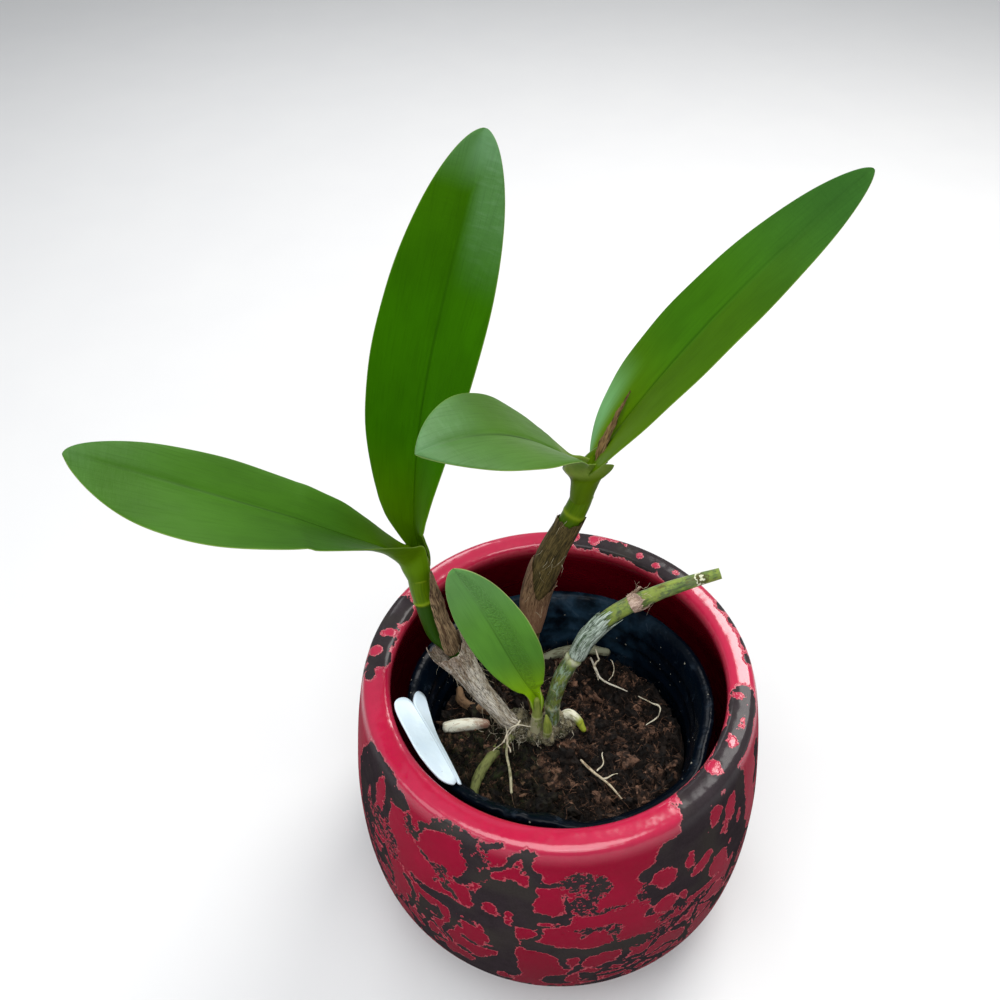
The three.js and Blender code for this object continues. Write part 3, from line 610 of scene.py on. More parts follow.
def glaze_paint():
    """Thick glossy crimson glaze that has crawled back from a matt charcoal ground in ragged patches."""
    paint = Paint("mottled_glaze", Specular_IOR_Level=0.0, Coat_IOR=1.65, Coat_Roughness=0.16)
    fine = paint.wobble(1.5, 1.0, 4)
    roughening = paint.add(0.9, paint.times(paint.value("lace"), 1.6))
    edge = paint.add(paint.value("bare"), paint.add(paint.wobble(5.0, 1.5, 3), paint.times(fine, roughening)))
    apart = paint.times(paint.cells(9.5, paint.bent(6, 2.6), "DISTANCE_TO_EDGE"), 9.5)
    width = paint.add(paint.span(paint.value("veined"), 0, 1, -4.5, 1.15), paint.wobble(7, 1.5))
    edge = paint.most(edge, paint.add(paint.less(width, apart), paint.times(fine, 0.6)))
    bare = paint.span(edge, -0.07, 0.07)
    glazed = paint.less(1.0, bare)
    rim_line = paint.times(paint.span(edge, -0.55, -0.15), glazed)
    lip_line = paint.times(paint.value("lip"), paint.span(paint.noise(2.4, 3), 0.25, 0.5))
    glaze = paint.layers(
        paint.mix(paint.noise(16, 3), (126, 0, 32), (156, 2, 48)),
        # painted highlight: the glaze is lighter and pinker on the rim, standing in for the sheen it catches
        (paint.value("rim"), 0.8, (188, 20, 66)),
        (paint.noise(3.2, 4), 0.35, (104, 0, 28)),
        # painted shade: the glaze darkens low down, where less light reaches
        (paint.value("low"), 0.75, (90, 0, 22)),
        # painted shade: the inner wall is a darker maroon, standing in for the shade inside the pot
        (paint.value("inside"), 1, (112, 0, 22)),
        (rim_line, 0.6, (196, 88, 98)),
        (lip_line, 0.85, (238, 150, 140)),
    )
    ground = paint.layers(
        paint.mix(paint.noise(5, 4), (27, 22, 24), (50, 42, 46)),
        (paint.span(paint.noise(22, 2), 0.45, 0.65), 0.7, (50, 47, 42)),
        (paint.noise(0.8, 2), 0.25, (78, 70, 73)),
        (paint.specks(4.0, 0.3, 0.35), 0.8, (186, 96, 108)),
    )
    wall_gloss = paint.times(glazed, 0.1)
    rim_gloss = paint.span(glazed, 0, 1, 0.25, 1.0)
    gloss = paint.node("ShaderNodeMix", {0: paint.value("rim"), 2: wall_gloss, 3: rim_gloss})
    overlay = paint.span(edge, -0.9, 0.1, 1.0, 0.0)
    surface = paint.bump(overlay, 0.28, paint.bump(paint.noise(9, 2), 0.35))
    pitted = paint.bump(paint.times(paint.noise(0.5, 2), bare), 0.06, surface)
    return paint.finish(
        Base_Color=paint.mix(bare, glaze, ground), Roughness=0.5, Normal=pitted,
        Coat_Weight=gloss, Coat_Normal=surface,
    )


def add_glazed_pot():
    outer = spline([(r, z, 0) for r, z in POT_OUTER], 176)[:, :2]
    inner = spline([(r, z, 0) for r, z in POT_INNER], 60)[:, :2]
    profile = np.vstack([outer[1:], inner[:-1]])
    profile = np.clip(profile, (-np.inf, 0), (POT_RADIUS, POT_HEIGHT))
    rings, azimuth, arc = lathe(profile, segments=340)
    arc = arc - arc[np.argmin(np.abs(profile[:, 0] - FOOT_RADIUS) + profile[:, 1])]

    warp = 2.0 * np.stack([noise(rings, 13, 1), noise(rings, 13, 2)])
    warp = warp + 1.1 * np.stack([noise(rings, 5, 3), noise(rings, 5, 4)])
    warp = warp * np.where(arc > RAGGED_ARC, 0.35, 1.0)
    warped = azimuth + np.degrees(warp[0] / POT_RADIUS), arc + warp[1]
    solid = depth_in(BARE_PATCHES + back_marks(44, 11, (2.5, 9), (3, 13)), *warped)
    lacy = np.minimum(depth_in(LACY_PATCHES + back_marks(12, 12, (2, 5), (1.5, 4)), *warped), 0.35)
    islands = depth_in(GLAZE_ISLANDS + back_marks(46, 13, (1.4, 4), (2, 6)), *warped)
    bare = np.maximum(np.minimum(np.maximum(solid, lacy), -islands), depth_in_cracks(BARE_CRACKS, *warped))
    # inside: the inner wall, kept free of bare ground, where the glaze is painted darker as shade
    inside = ramp(arc, INNER_ARC - 0.6, INNER_ARC + 0.6)
    bare = bare * (1 - inside) + NO_DEPTH * inside
    cloudy = np.clip(0.62 + 1.1 * noise(rings, 24, 9), 0, 1)
    behind = ramp(np.abs((azimuth + 9 + 180) % 360 - 180), 70, 80) * cloudy
    named = ramp(depth_in(VEINED_ZONES, azimuth, arc), -3, 4)
    values = {
        "bare": np.clip(bare, -12, 12),
        "lace": ramp(lacy, -2.0, 0.2) * ramp(solid, 2.5, 0),
        "inside": inside,
        "lip": ramp(arc, LIP_ARC[0], LIP_ARC[0] + 0.7) * ramp(arc, LIP_ARC[1], LIP_ARC[1] - 0.7),
        # low: 1 at the foot, fading to 0 up the body, where painted shade darkens the glaze
        "low": ramp(arc, 128, 50),
        # the rim, where the glaze is glossier and its colour carries a painted highlight
        "rim": ramp(arc, 138, 147),
        "veined": np.maximum(behind, named) * ramp(arc, 142, 130) * (1 - inside),
    }
    add_piece("glazed_pot", skin(rings, values), glaze_paint(), ["ceramic_pot"])


# ---------- black liner pot ----------

LEAN = math.radians(-7)
LINER_BASE = np.array([1, -11.8, 12.75])
LINER_HEIGHT = 101
LINER_RIM = 60
LINER_WALL_TOP = 57
LINER_BASE_RADIUS = 42
LINER_WALL = 1.4


def lean(points):
    """Moves points from the upright liner pot's own frame to where it leans inside the glazed pot."""
    x, y, z = np.moveaxis(points, -1, 0)
    c, s = math.cos(LEAN), math.sin(LEAN)
    return xyz(x, y * c - z * s, y * s + z * c) + LINER_BASE


def leaning(body):
    return lean(body[0]), *body[1:]


def wall_radius(height):
    return LINER_BASE_RADIUS + (LINER_WALL_TOP - LINER_BASE_RADIUS) * height / LINER_HEIGHT


def liner_paint():
    """Black plastic, painted lighter and bluer towards its back wall as painted light, with smears and dust.
    """
    paint = Paint("black_liner_plastic", Specular_IOR_Level=0.08)
    depth = paint.node("ShaderNodeSeparateXYZ", {"Vector": paint.place()}, "Y")
    # painted light: the back wall is lighter and bluer, standing in for the light that falls on it
    overlay = paint.times(paint.span(depth, 0.026, 0.05), paint.span(paint.noise(7, 3), 0.3, 0.7))
    smear = paint.span(paint.noise(7, 4, distortion=0.6), 0.56, 0.8)
    dust = paint.most(paint.specks(3.2, 0.24, 0.4), paint.specks(6.5, 0.45, 0.25))
    colour = paint.layers(
        paint.mix(paint.noise(12, 3), (1, 4, 10), (4, 13, 23)),
        (overlay, 1, (28, 48, 64)),
        (smear, 0.22, (70, 84, 100)),
        (dust, 0.75, (150, 146, 132)),
    )
    roughness = paint.add(paint.span(smear, 0, 1, 0.22, 0.45), paint.times(dust, 0.3))
    scuffs = paint.bump(paint.noise(1.2, 3), 0.05, paint.bump(paint.noise(8, 2), 0.8))
    return paint.finish(Base_Color=colour, Roughness=roughness, Normal=scuffs)


def add_liner():
    """The liner pot, with its wall pushed out and buckled at the front, as in the photograph."""
    top = LINER_HEIGHT

    def inside(height, ridge=0.0):
        return wall_radius(height) - LINER_WALL - ridge, height

    ridge_steps = (1.6, 0), (0.5, 0.6), (-0.5, 0.6), (-1.6, 0)
    ridges = []
    for height in (91, 84.5, 78):
        ridges += [inside(height + rise, ridge) for rise, ridge in ridge_steps]
    outline = [
        (0.1, 0), (LINER_BASE_RADIUS - 1.5, 0), (LINER_BASE_RADIUS, 1.4), (wall_radius(30), 30),
        (wall_radius(60), 60), (wall_radius(80), 80), (wall_radius(96), 96.2), (LINER_RIM - 0.9, 96.6),
        (LINER_RIM, 97.6), (LINER_RIM, top - 1.2), (LINER_RIM - 0.3, top - 0.4), (LINER_RIM - 1, top),
        (LINER_WALL_TOP + 1, top), (LINER_WALL_TOP, top - 0.5), inside(top - 1.4), *ridges,
        inside(60), inside(30), inside(3.4), (LINER_BASE_RADIUS - 3.4, 1.7), (0.1, 1.7),
    ]
    rings, azimuth, _ = lathe(outline, segments=240)
    upper = ramp(rings[..., 2], 45, 96)
    crammed = ramp(azimuth, 352, 363) + ramp(azimuth, -8, 6) * ramp(azimuth, 66, 44)
    front_left = ramp(azimuth, 318, 326) * ramp(azimuth, 358, 350)
    buckle = noise(rings, (3.2, 3.2, 6), 5) + 0.6 * noise(rings, (1.5, 1.5, 4), 6)
    shift = 3.3 * np.clip(crammed, 0, 1) + 0.35 * noise(rings, 16, 7) + 0.7 * front_left * buckle - 0.3
    away = rings[..., :2] / np.maximum(np.linalg.norm(rings[..., :2], axis=-1, keepdims=True), 1)
    rings[..., :2] += away * (upper * shift)[..., None]
    rings[..., 2] += upper * front_left * 0.5 * noise(rings, 2.6, 8)
    body = leaning(skin(rings, {}))
    cut_drain_holes(add_piece("liner_pot", body, liner_paint(), ["nursery_pot"]))


def cut_drain_holes(piece):
    """Six round holes through the liner's floor, as in the solid that it stands for."""
    circle_radius, hole_radius = 29, 4
    drills = []
    for i in range(6):
        turn = 2 * math.pi * (i + 0.5) / 6
        x, y = circle_radius * math.cos(turn), circle_radius * math.sin(turn)
        drills.append(tube([(x, y, -3, hole_radius), (x, y, 5, hole_radius)], 2, 24, bulge=(0, 0)))
    drill = link("drain_drills", make_mesh("drain_drills", *leaning(merge(drills))[:2]))
    cutter = piece.modifiers.new("drain_holes", "BOOLEAN")
    cutter.operation = "DIFFERENCE"
    cutter.object = drill
    cut = applied(piece)
    piece.modifiers.clear()
    piece.data = cut
    bpy.data.objects.remove(drill)


# ---------- potting medium ----------

SOIL_LEVEL = 73
SOIL_EDGE = wall_radius(SOIL_LEVEL) - LINER_WALL
SOIL_GAP = 0.9  # between the medium and the liner's wall
# name, how many, seed, how often the ball is subdivided, sizes, shape, roughness, tones
LUMPS = [
    ("bark_crumbs", 3000, 31, 1, (0.5, 1.7), (1, 0.7, 0.5), 1.0, (0.0, 0.85)),
    ("bark_clods", 130, 38, 3, (2.0, 4.0), (1, 0.8, 0.6), 1.0, (0.0, 0.6)),
    ("bark_chips", 240, 32, 2, (1.2, 3.0), (1, 0.5, 0.34), 0.9, (0.05, 0.6)),
    ("bark_shards", 420, 36, 1, (1.6, 3.9), (1, 0.22, 0.16), 0.6, (0.15, 0.8)),
]
# name, how many, seed, lengths, radii, tones, joints, whether it is moss, how much it curls
FIBRES = [
    ("coir_fibres", 1900, 33, (4, 13), (0.07, 0.18), (0.1, 0.97), 7, False, 0.35),
    ("coir_dust", 1400, 34, (1.2, 4), (0.07, 0.15), (0.2, 1.0), 4, False, 0.35),
    ("moss_strands", 700, 35, (2, 6), (0.07, 0.15), (0.2, 0.75), 5, True, 0.5),
]


def relief(x, y):
    """The broad hollows and mounds of the medium's surface, from about -1 to 1."""
    return (
        np.sin(0.31 * x + 1.3) * np.cos(0.27 * y - 0.4)
        + 0.7 * np.sin(0.53 * x - 0.35 * y + 2.1)
        + 0.55 * np.cos(0.82 * x + 0.64 * y)
        + 0.4 * np.sin(1.13 * y - 0.71 * x + 0.9)
    ) / 2.2


def soil_height(x, y):
    """The height of the medium's surface in the liner's own frame: clods with dark hollows between them."""
    flat = xyz(x, y, 0.0)
    bent = flat + 1.6 * xyz(noise(flat, 5, 25), noise(flat, 5, 26), 0.0)
    clods = np.minimum(3.2 * np.abs(noise(bent, 7.5, 21)), 1.2)
    clods = clods + 0.6 * np.minimum(3 * np.abs(noise(bent, 3.4, 22)), 1.1)
    crumbs = 1.2 * noise(flat, 2.0, 23) + 0.8 * noise(flat, 1.2, 29)
    return SOIL_LEVEL + 2.2 * relief(x, y) + 2.4 * clods + crumbs - 3.0


def soil_paint():
    """Bark from dark to light by the value tone, greened by the value moss, with patches of painted shadow.
    """
    paint = Paint("bark_and_fibre", Specular_IOR_Level=0.2)
    tone = paint.value("tone")
    light = paint.mix(paint.noise(0.9, 4), (80, 50, 40), (160, 122, 98))
    green = paint.mix(paint.noise(2.0, 3), (12, 17, 6), (50, 61, 27))
    colour = paint.layers(
        paint.mix(paint.noise(2, 4), (9, 7, 6), (36, 26, 20)),
        (paint.span(tone, 0.25, 0.95), 1, light),
        (paint.span(tone, 0.93, 1.0), 1, (176, 156, 128)),
        (paint.times(paint.value("moss"), paint.span(paint.noise(2.6, 4), 0.4, 0.6)), 1, green),
        # painted shadow: near-black patches standing in for the shade in the gaps between clods
        (paint.span(paint.noise(3.6, 5, None, 0.6), 0.53, 0.43), 0.85, (8, 6, 5)),
    )
    grain = paint.bump(paint.noise(0.45, 4), 0.35, paint.bump(paint.noise(1.6, 4), 0.7))
    roughness = paint.span(paint.noise(2.2, 3), 0.3, 0.7, 0.6, 0.95)
    return paint.finish(Base_Color=colour, Roughness=roughness, Normal=grain)


def mossiness(x, y):
    """How green the medium is: most at the left, as it keeps wettest there."""
    return ramp(np.hypot(x + 31, y + 6), 28, 10) * 0.75 + ramp(np.hypot(x + 14, y + 28), 24, 6) * 0.3


def tone_and_hollow_shade(x, y):
    """How light the bits of the medium are: by patches, and darker where they lie low, as painted shade."""
    flat = xyz(x, y, 0.0)
    patches = 0.52 + 1.7 * noise(flat, 6, 27) + 0.8 * noise(flat, 2.6, 28)
    high = ramp(soil_height(x, y), SOIL_LEVEL - 3.5, SOIL_LEVEL + 2.5)
    return np.clip(patches, 0.05, 1.1) * (0.1 + 0.9 * high)


def add_medium(material):
    turn = 2 * np.pi * np.arange(300) / 300
    shares = np.linspace(1, 0.012, 120)[:, None]
    x = shares * np.cos(turn) * (SOIL_EDGE - SOIL_GAP)
    y = shares * np.sin(turn) * (SOIL_EDGE - SOIL_GAP)
    top = xyz(x, y, soil_height(x, y) - 2.0 * ramp(shares, 0.95, 1))
    heights = np.linspace(2.1, SOIL_LEVEL - 6, 8)[:, None]
    radius = wall_radius(heights) - LINER_WALL - SOIL_GAP - np.where(heights < 3, 2.6, 0)
    rings = np.concatenate([xyz(np.cos(turn) * radius, np.sin(turn) * radius, heights), top])
    # the surface under the bits is painted at half their tone: painted shade in the gaps between them
    tone = 0.5 * tone_and_hollow_shade(rings[..., 0], rings[..., 1]) + 0.1 * rough_noise(rings, 4, 24)
    body = leaning(skin(rings, {"tone": tone, "moss": mossiness(rings[..., 0], rings[..., 1])}))
    add_piece("medium_surface", body, material, ["growing_medium"])


def random_turns(rng, count):
    """Random rotation matrices."""
    w, x, y, z = unit(rng.normal(size=(count, 4))).T
    return np.stack([
        1 - 2 * (y * y + z * z), 2 * (x * y - z * w), 2 * (x * z + y * w),
        2 * (x * y + z * w), 1 - 2 * (x * x + z * z), 2 * (y * z - x * w),
        2 * (x * z - y * w), 2 * (y * z + x * w), 1 - 2 * (x * x + y * y),
    ], axis=-1).reshape(count, 3, 3)


def round_lump(subdivisions):
    """Points and triangles of a ball of radius 1."""
    mesh = bpy.data.meshes.new("lump")
    shape = bmesh.new()
    bmesh.ops.create_icosphere(shape, subdivisions=subdivisions, radius=1.0)
    shape.to_mesh(mesh)
    shape.free()
    points = np.array([v.co for v in mesh.vertices])
    faces = np.array([list(p.vertices) for p in mesh.polygons])
    bpy.data.meshes.remove(mesh)
    return points, faces


def strewn_places(rng, count, keep=0.97):
    """Random places on the medium's surface, in the liner's own frame."""
    radius = (SOIL_EDGE - 1.5) * np.sqrt(rng.uniform(0, keep**2, count))
    turn = rng.uniform(0, 2 * np.pi, count)
    return radius * np.cos(turn), radius * np.sin(turn)


def keep_inside(points):
    """Pulls points that reach past the medium's edge back to it."""
    out = np.hypot(points[:, 0], points[:, 1]) / (SOIL_EDGE - 1.6)
    points[:, :2] /= np.maximum(out, 1)[:, None]


def add_lumps(material, name, count, seed, subdivisions, sizes, shape, rough, tones):
    """Crumbs and chips of bark, each a lump squeezed to shape, roughened, turned and half sunk."""
    rng = np.random.default_rng(seed)
    ball, triangles = round_lump(subdivisions)
    x, y = strewn_places(rng, count)
    scale = blend(sizes, rng.uniform(0, 1, count) ** 2.2)
    squeeze = np.asarray(shape) * rng.uniform(0.7, 1.3, (count, 3))
    shifted = ball[None] + rng.uniform(0, 400, (count, 1, 3))
    dents = noise(shifted, 0.8, seed) + 0.5 * noise(shifted, 0.35, seed + 50)
    lumps = ball[None] * (1 + rough * dents[..., None]) * squeeze[:, None] * scale[:, None, None]
    lumps = np.einsum("nij,npj->npi", random_turns(rng, count), lumps)
    lumps += xyz(x, y, soil_height(x, y) + scale * rng.uniform(-0.25, 0.45, count))[:, None]
    # each bit's tone varies at random, and is darker where it lies low as painted shade
    light = np.clip(tone_and_hollow_shade(x, y) * rng.uniform(0.35, 1.5, count), 0, 1)
    values = {
        "tone": np.repeat(np.clip(blend(tones, light), 0, 1), len(ball)),
        "moss": np.repeat(mossiness(x, y), len(ball)),
    }
    faces = (triangles[None] + len(ball) * np.arange(count)[:, None, None]).reshape(-1, 3)
    body = leaning((lumps.reshape(-1, 3), [faces], values))
    add_piece(name, body, material, smooth=False)


def threads(starts, headings, lengths, radii, rng, joints, curl, lift):
    """Fine curling threads, each a three-sided tube: points, faces and the thread each point is on."""
    count = len(starts)
    steps = [starts]
    heading = unit(headings)
    for _ in range(joints):
        heading = unit(heading + curl * rng.normal(size=(count, 3)) + np.array([0, 0, lift]))
        steps.append(steps[-1] + heading * (lengths / joints)[:, None])
    path = np.stack(steps, axis=1)[:, :, None]
    tangent = unit(np.gradient(path, axis=1))
    side = unit(np.cross(tangent, np.array([0.2, 0.3, 1.0])))
    thin = np.linspace(1, 0.35, joints + 1)[None, :, None, None] * radii[:, None, None, None]
    out = outward(2 * np.pi * np.arange(3) / 3, side, np.cross(tangent, side))
    points = (path + thin * out).reshape(-1, 3)
    per_thread = (joints + 1) * 3
    ends = np.array([[0, 2, 1], [per_thread - 3, per_thread - 2, per_thread - 1]])
    shift = per_thread * np.arange(count)[:, None, None]
    faces = [(group[None] + shift).reshape(-1, group.shape[1]) for group in (grid_faces(joints + 1, 3), ends)]
    return points, faces, np.repeat(np.arange(count), per_thread)


def add_fibres(material, name, count, seed, lengths, radii, tones, joints, moss_only, curl):
    """Coir fibres, or strands of moss, strewn over the medium."""
    rng = np.random.default_rng(seed)
    x, y = strewn_places(rng, count * (6 if moss_only else 1), 0.96)
    if moss_only:
        wanted = rng.uniform(0, 1, len(x)) < mossiness(x, y)
        x, y = x[wanted][:count], y[wanted][:count]
        count = len(x)
    turn = rng.uniform(0, 2 * np.pi, count)
    rise = rng.uniform(-0.1, 0.9 if moss_only else 0.55, count)
    heading = xyz(np.cos(turn), np.sin(turn), rise)
    length = rng.uniform(*lengths, count)
    start = xyz(x, y, soil_height(x, y) + rng.uniform(-0.3, 1.0, count))
    start[:, :2] -= heading[:, :2] * length[:, None] * 0.4
    keep_inside(start)
    radius = rng.uniform(*radii, count)
    points, faces, owner = threads(start, heading, length, radius, rng, joints, curl, lift=-0.06)
    keep_inside(points)
    tone = blend(tones, rng.uniform(0, 1, count) ** 1.5)[owner]
    moss = np.full(len(points), 1.0) if moss_only else 0.5 * mossiness(x, y)[owner]
    body = leaning((points, faces, {"tone": tone, "moss": moss}))
    add_piece(name, body, material)


def add_tufts(material, name, count, seed):
    """Knots of coir: short curly fibres springing from shared places."""
    rng = np.random.default_rng(seed)
    each = 26
    x, y = strewn_places(rng, count, 0.9)
    centre = xyz(x, y, soil_height(x, y) + 0.4)
    count *= each
    starts = np.repeat(centre, each, axis=0) + rng.normal(size=(count, 3)) * [1.1, 1.1, 0.5]
    headings = rng.normal(size=(count, 3)) + [0, 0, 0.35]
    lengths = rng.uniform(2.0, 6.5, count)
    radii = rng.uniform(0.06, 0.13, count)
    points, faces, owner = threads(starts, headings, lengths, radii, rng, joints=6, curl=0.55, lift=-0.05)
    keep_inside(points)
    tone = (0.3 + 0.5 * rng.uniform(0, 1, count) ** 1.4)[owner]
    values = {"tone": tone, "moss": 0.3 * np.repeat(mossiness(x, y), each)[owner]}
    add_piece(name, leaning((points, faces, values)), material)


def add_potting_medium():
    material = soil_paint()
    add_medium(material)
    for lumps in LUMPS:
        add_lumps(material, *lumps)
    for fibres in FIBRES:
        add_fibres(material, *fibres)
    add_tufts(material, "coir_tufts", count=58, seed=37)


# ---------- leaves ----------

LEAF_THICKNESS = 2.0
LEAF_EDGE = 0.9
KEEL_DEPTH = 0.9
KEEL_WIDTH = 1.6
GROOVE_DEPTH = 0.55
GROOVE_WIDTH = 0.8

# spine is a Bezier curve from the stem to the tip, and faces are the ways that the blade faces at its ends.
# fullness is how fast it widens and narrows, skew how much wider its far half is, folds the angle at which
# its halves rise at each end, and neck its width at the stem. base_colour reaches base_reach of the length.
# painted_sheen is a pale painted reflection beside the rib near the tip, far_shade darkens the far half,
# near_sheen lightens the near edge low down, and rib is how dark the rib is.
# base is how a leaf closes round its stem: rows of (share along, middle, edge nearest the front, other edge,
# how far each half bulges between its edge and the middle, if it does). Shares below 0 lie on the stem.
LEAVES = {
    "leaf_tall": dict(
        spine=[(-50.8, 25, 171), (-50.3, 31.7, 227.1), (-36.1, 35.3, 266.7), (-20.6, 44.8, 320.9)],
        faces=[(-0.75, -0.63, 0.2), (-0.1, -0.96, 0.26)],
        width=37.7, neck=7, fullness=(0.6, 0.57), skew=-0.03, folds=(0.56, 0.09), wave=0.5,
        base_colour=(76, 116, 0), colour=(45, 97, 0), tip_colour=(50, 94, 4), painted_sheen=0.75, gloss=0.015,
        base=[
            (-0.05, (-50.6, 27.2, 162), (-54, 25.4, 162), (-46.9, 23.4, 163), (-0.8, 0.9, 0), (0.8, 0.8, 0)),
            (-0.02, (-50.6, 27.6, 168), (-54.6, 26.5, 167), (-46.9, 24, 168), (-0.6, 0.9, 0), (0.8, 0.9, 0)),
            (0.0, (-50.6, 27.4, 172), (-55.1, 27, 171), (-47.8, 24, 173.6), (-0.2, 0.6, 0), (0.6, 0.5, 0)),
            (0.03, (-50.7, 26.8, 176.5), (-57.3, 28, 175), (-48.3, 21.5, 181), (0, 0.3, 0), (0.4, 0.3, 0)),
            (0.08, (-50.4, 26.5, 184.1), (-61.7, 30, 184.2), (-47.7, 16.4, 186.3), (0, 0, 0), (0.2, 0, 0)),
            (0.13, (-50.0, 27.4, 192.1), (-63.4, 31.4, 192.4), (-46, 14.5, 193.1)),
        ],
    ),
    "leaf_left": dict(
        spine=[(-51.5, 24, 170), (-72.4, 9, 194.6), (-126.7, 9.1, 224), (-147.5, -6.4, 249.3)],
        faces=[(-0.54, 0.03, 0.84), (0.11, -0.31, 0.94)],
        width=37.9, neck=8, fullness=(0.86, 0.66), skew=-0.29, folds=(0.79, -0.03), wave=0.5,
        base_colour=(84, 118, 0), colour=(58, 102, 22), tip_colour=(58, 100, 26), painted_sheen=0.15, gloss=0.08,
        base=[
            (-0.10, (-54.3, 19.6, 156), (-47.9, 17.7, 157), (-49.6, 22.6, 156), (-0.7, -2.0, 0),
             (-1.3, 0.9, 0)),
            (-0.06, (-55.4, 20.6, 161), (-47.2, 18.4, 162), (-50.2, 25.2, 161), (-0.9, -2.35, -0.2),
             (-1.5, 1, 0)),
            (-0.03, (-56.1, 20.9, 164.8), (-46.9, 19.4, 167.6), (-50.3, 26.4, 165), (-0.9, -2.5, -0.3),
             (-1.5, 1, 0)),
            (0.0, (-57.0, 21, 168), (-48, 21.5, 175.5), (-51, 28.5, 170), (-0.8, -2.4, -0.8),
             (-1.4, 1, -0.4)),
            (0.06, (-59.2, 18.6, 174.2), (-51.8, 17, 180.2), (-55.8, 27.2, 171.4), (-0.5, -1.5, -0.9),
             (-0.6, 0.4, -0.6)),
            (0.14, (-62.4, 16.4, 180.2), (-56.6, 11, 186.5), (-62, 26.8, 178.2), (-0.2, -0.9, -0.8),
             (0, 0, -0.5)),
            (0.21, (-67, 15, 184.6), (-61.1, 5, 192.6), (-67.8, 26.1, 186.4), (0, -0.5, -0.7), (0, 0, -0.3)),
            (0.30, (-76.6, 13.3, 192), (-67.5, -2, 199.9), (-76.5, 24.8, 197.6), (0, -0.3, -0.6), (0, 0, 0)),
            (0.40, (-88.1, 11.3, 201.1), (-78.5, -8.8, 208.3), (-86.8, 23.2, 206.3)),
        ],
    ),
    "leaf_right": dict(
        spine=[(14.5, 43, 193), (27.7, 40.5, 224.2), (55.2, 52.8, 258.8), (96.8, 56.9, 299.3)],
        faces=[(-0.73, 0.11, 0.68), (-0.77, -0.48, 0.43)],
        width=36.8, neck=7, fullness=(0.5, 0.63), skew=0.03, folds=(0.31, 0.07), wave=0.2,
        base_colour=(98, 134, 0), base_reach=0.55, colour=(56, 104, 12), tip_colour=(50, 94, 34),
        gloss=0.03, far_shade=0.4, near_sheen=0.8,
    ),
    "leaf_front": dict(
        spine=[(13, 41, 193), (-4.2, 19.5, 220.1), (-15, -0.7, 255.6), (-42.9, -25.7, 261.4)],
        faces=[(0.22, 0.07, 0.97), (0.39, -0.13, 0.91)],
        width=33.7, neck=9, fullness=(1.63, 0.84), skew=-0.08, folds=(0.46, 0.09), wave=0.3,
        # its pale base_colour is partly the leaf's own yellow-green and partly a painted sheen
        base_colour=(134, 158, 66), colour=(66, 104, 28), tip_colour=(66, 106, 48), painted_sheen=0.5, gloss=0.12,
        rib=0.75, clasp_colour=(84, 112, 0),
        base=[
            (-0.10, (5.9, 38.6, 178.5), (12.8, 36.8, 179), (10.2, 42.7, 178.5), (-1, -2.0, 0),
             (-0.9, 1.2, 0)),
            (-0.07, (6.2, 39, 181.5), (13.8, 36.9, 182), (11.2, 43.9, 181.5), (-1, -2.35, 0), (-1, 1.4, 0)),
            (-0.04, (6.9, 39.5, 185.5), (15.3, 37.8, 186), (12.6, 44.9, 185.5), (-1, -2.4, 0), (-1, 1.6, 0)),
            (-0.02, (7.0, 39.4, 189.5), (17.6, 38.2, 192.5), (15.5, 45.4, 190), (-0.6, -2.6, -0.8),
             (-1, 1.8, 0)),
            (0.0, (6.2, 38.6, 192.7), (21.4, 38, 197.7), (19.5, 40.6, 197), (0, -2.4, -1.8), (-1, 2.2, -1)),
            (0.05, (4.4, 36.3, 197.2), (15.8, 35, 201.2), (13.9, 41.5, 197.8), (0, -1.6, -1.8),
             (-0.6, 1.2, -1.5)),
            (0.10, (3.2, 33.4, 201.8), (12.4, 31.8, 204.2), (9.7, 40.5, 200.6), (0, -0.8, -1.4),
             (-0.3, 0.5, -1)),
            (0.16, (3.4, 30, 206.7), (11, 27.6, 207.8), (5, 37.5, 204.6), (0, -0.3, -0.9), (0, 0.2, -0.6)),
            (0.24, (1.4, 25.7, 213.3), (9.2, 21.3, 214.2), (-1.7, 32.2, 216.4), (0, 0, -0.4), (0, 0, 0)),
            (0.30, (-1.3, 21.9, 218.5), (7.8, 16.2, 219.1), (-5.2, 29.7, 222.1)),
        ],
    ),
    "leaf_small": dict(
        spine=[(-7.7, -2.8, 114.5), (-16.9, 0.3, 128.3), (-22.2, 1, 153.2), (-37.3, 5.4, 181.5)],
        faces=[(-0.27, -0.61, 0.74), (-0.45, -0.56, 0.69)],
        base_reach=0.46, width=28, neck=3, fullness=(1.02, 0.58), skew=0.14, folds=(0.22, 0.1), wave=0.2,
        base_colour=(136, 182, 6), colour=(90, 146, 52), tip_colour=(90, 140, 72), gloss=0.2,
        base=[
            (-0.10, (-7.9, -1.3, 105), (-8.9, -4.4, 105), (-6.8, -4.5, 105), (-0.9, 0.3, 0), (0.9, 0.3, 0)),
            (-0.05, (-7.9, -1.0, 109.5), (-9.5, -4.5, 109.2), (-6.2, -4.6, 109.8), (-0.9, 0.4, 0),
             (0.9, 0.4, 0)),
            (0.0, (-8.2, -1.2, 113.8), (-10.3, -4.2, 113), (-6.1, -4.2, 114.6), (-0.6, 0.3, 0),
             (0.7, 0.3, 0)),
            (0.06, (-9.5, -1.7, 117), (-11.8, -3.6, 116.2), (-6.6, -3, 118.9), (-0.2, 0.1, 0), (0.3, 0.1, 0)),
            (0.14, (-11.4, -1.6, 120.9), (-14.7, -2.7, 119.4), (-7.0, -2.2, 123.2)),
        ],
    ),
}


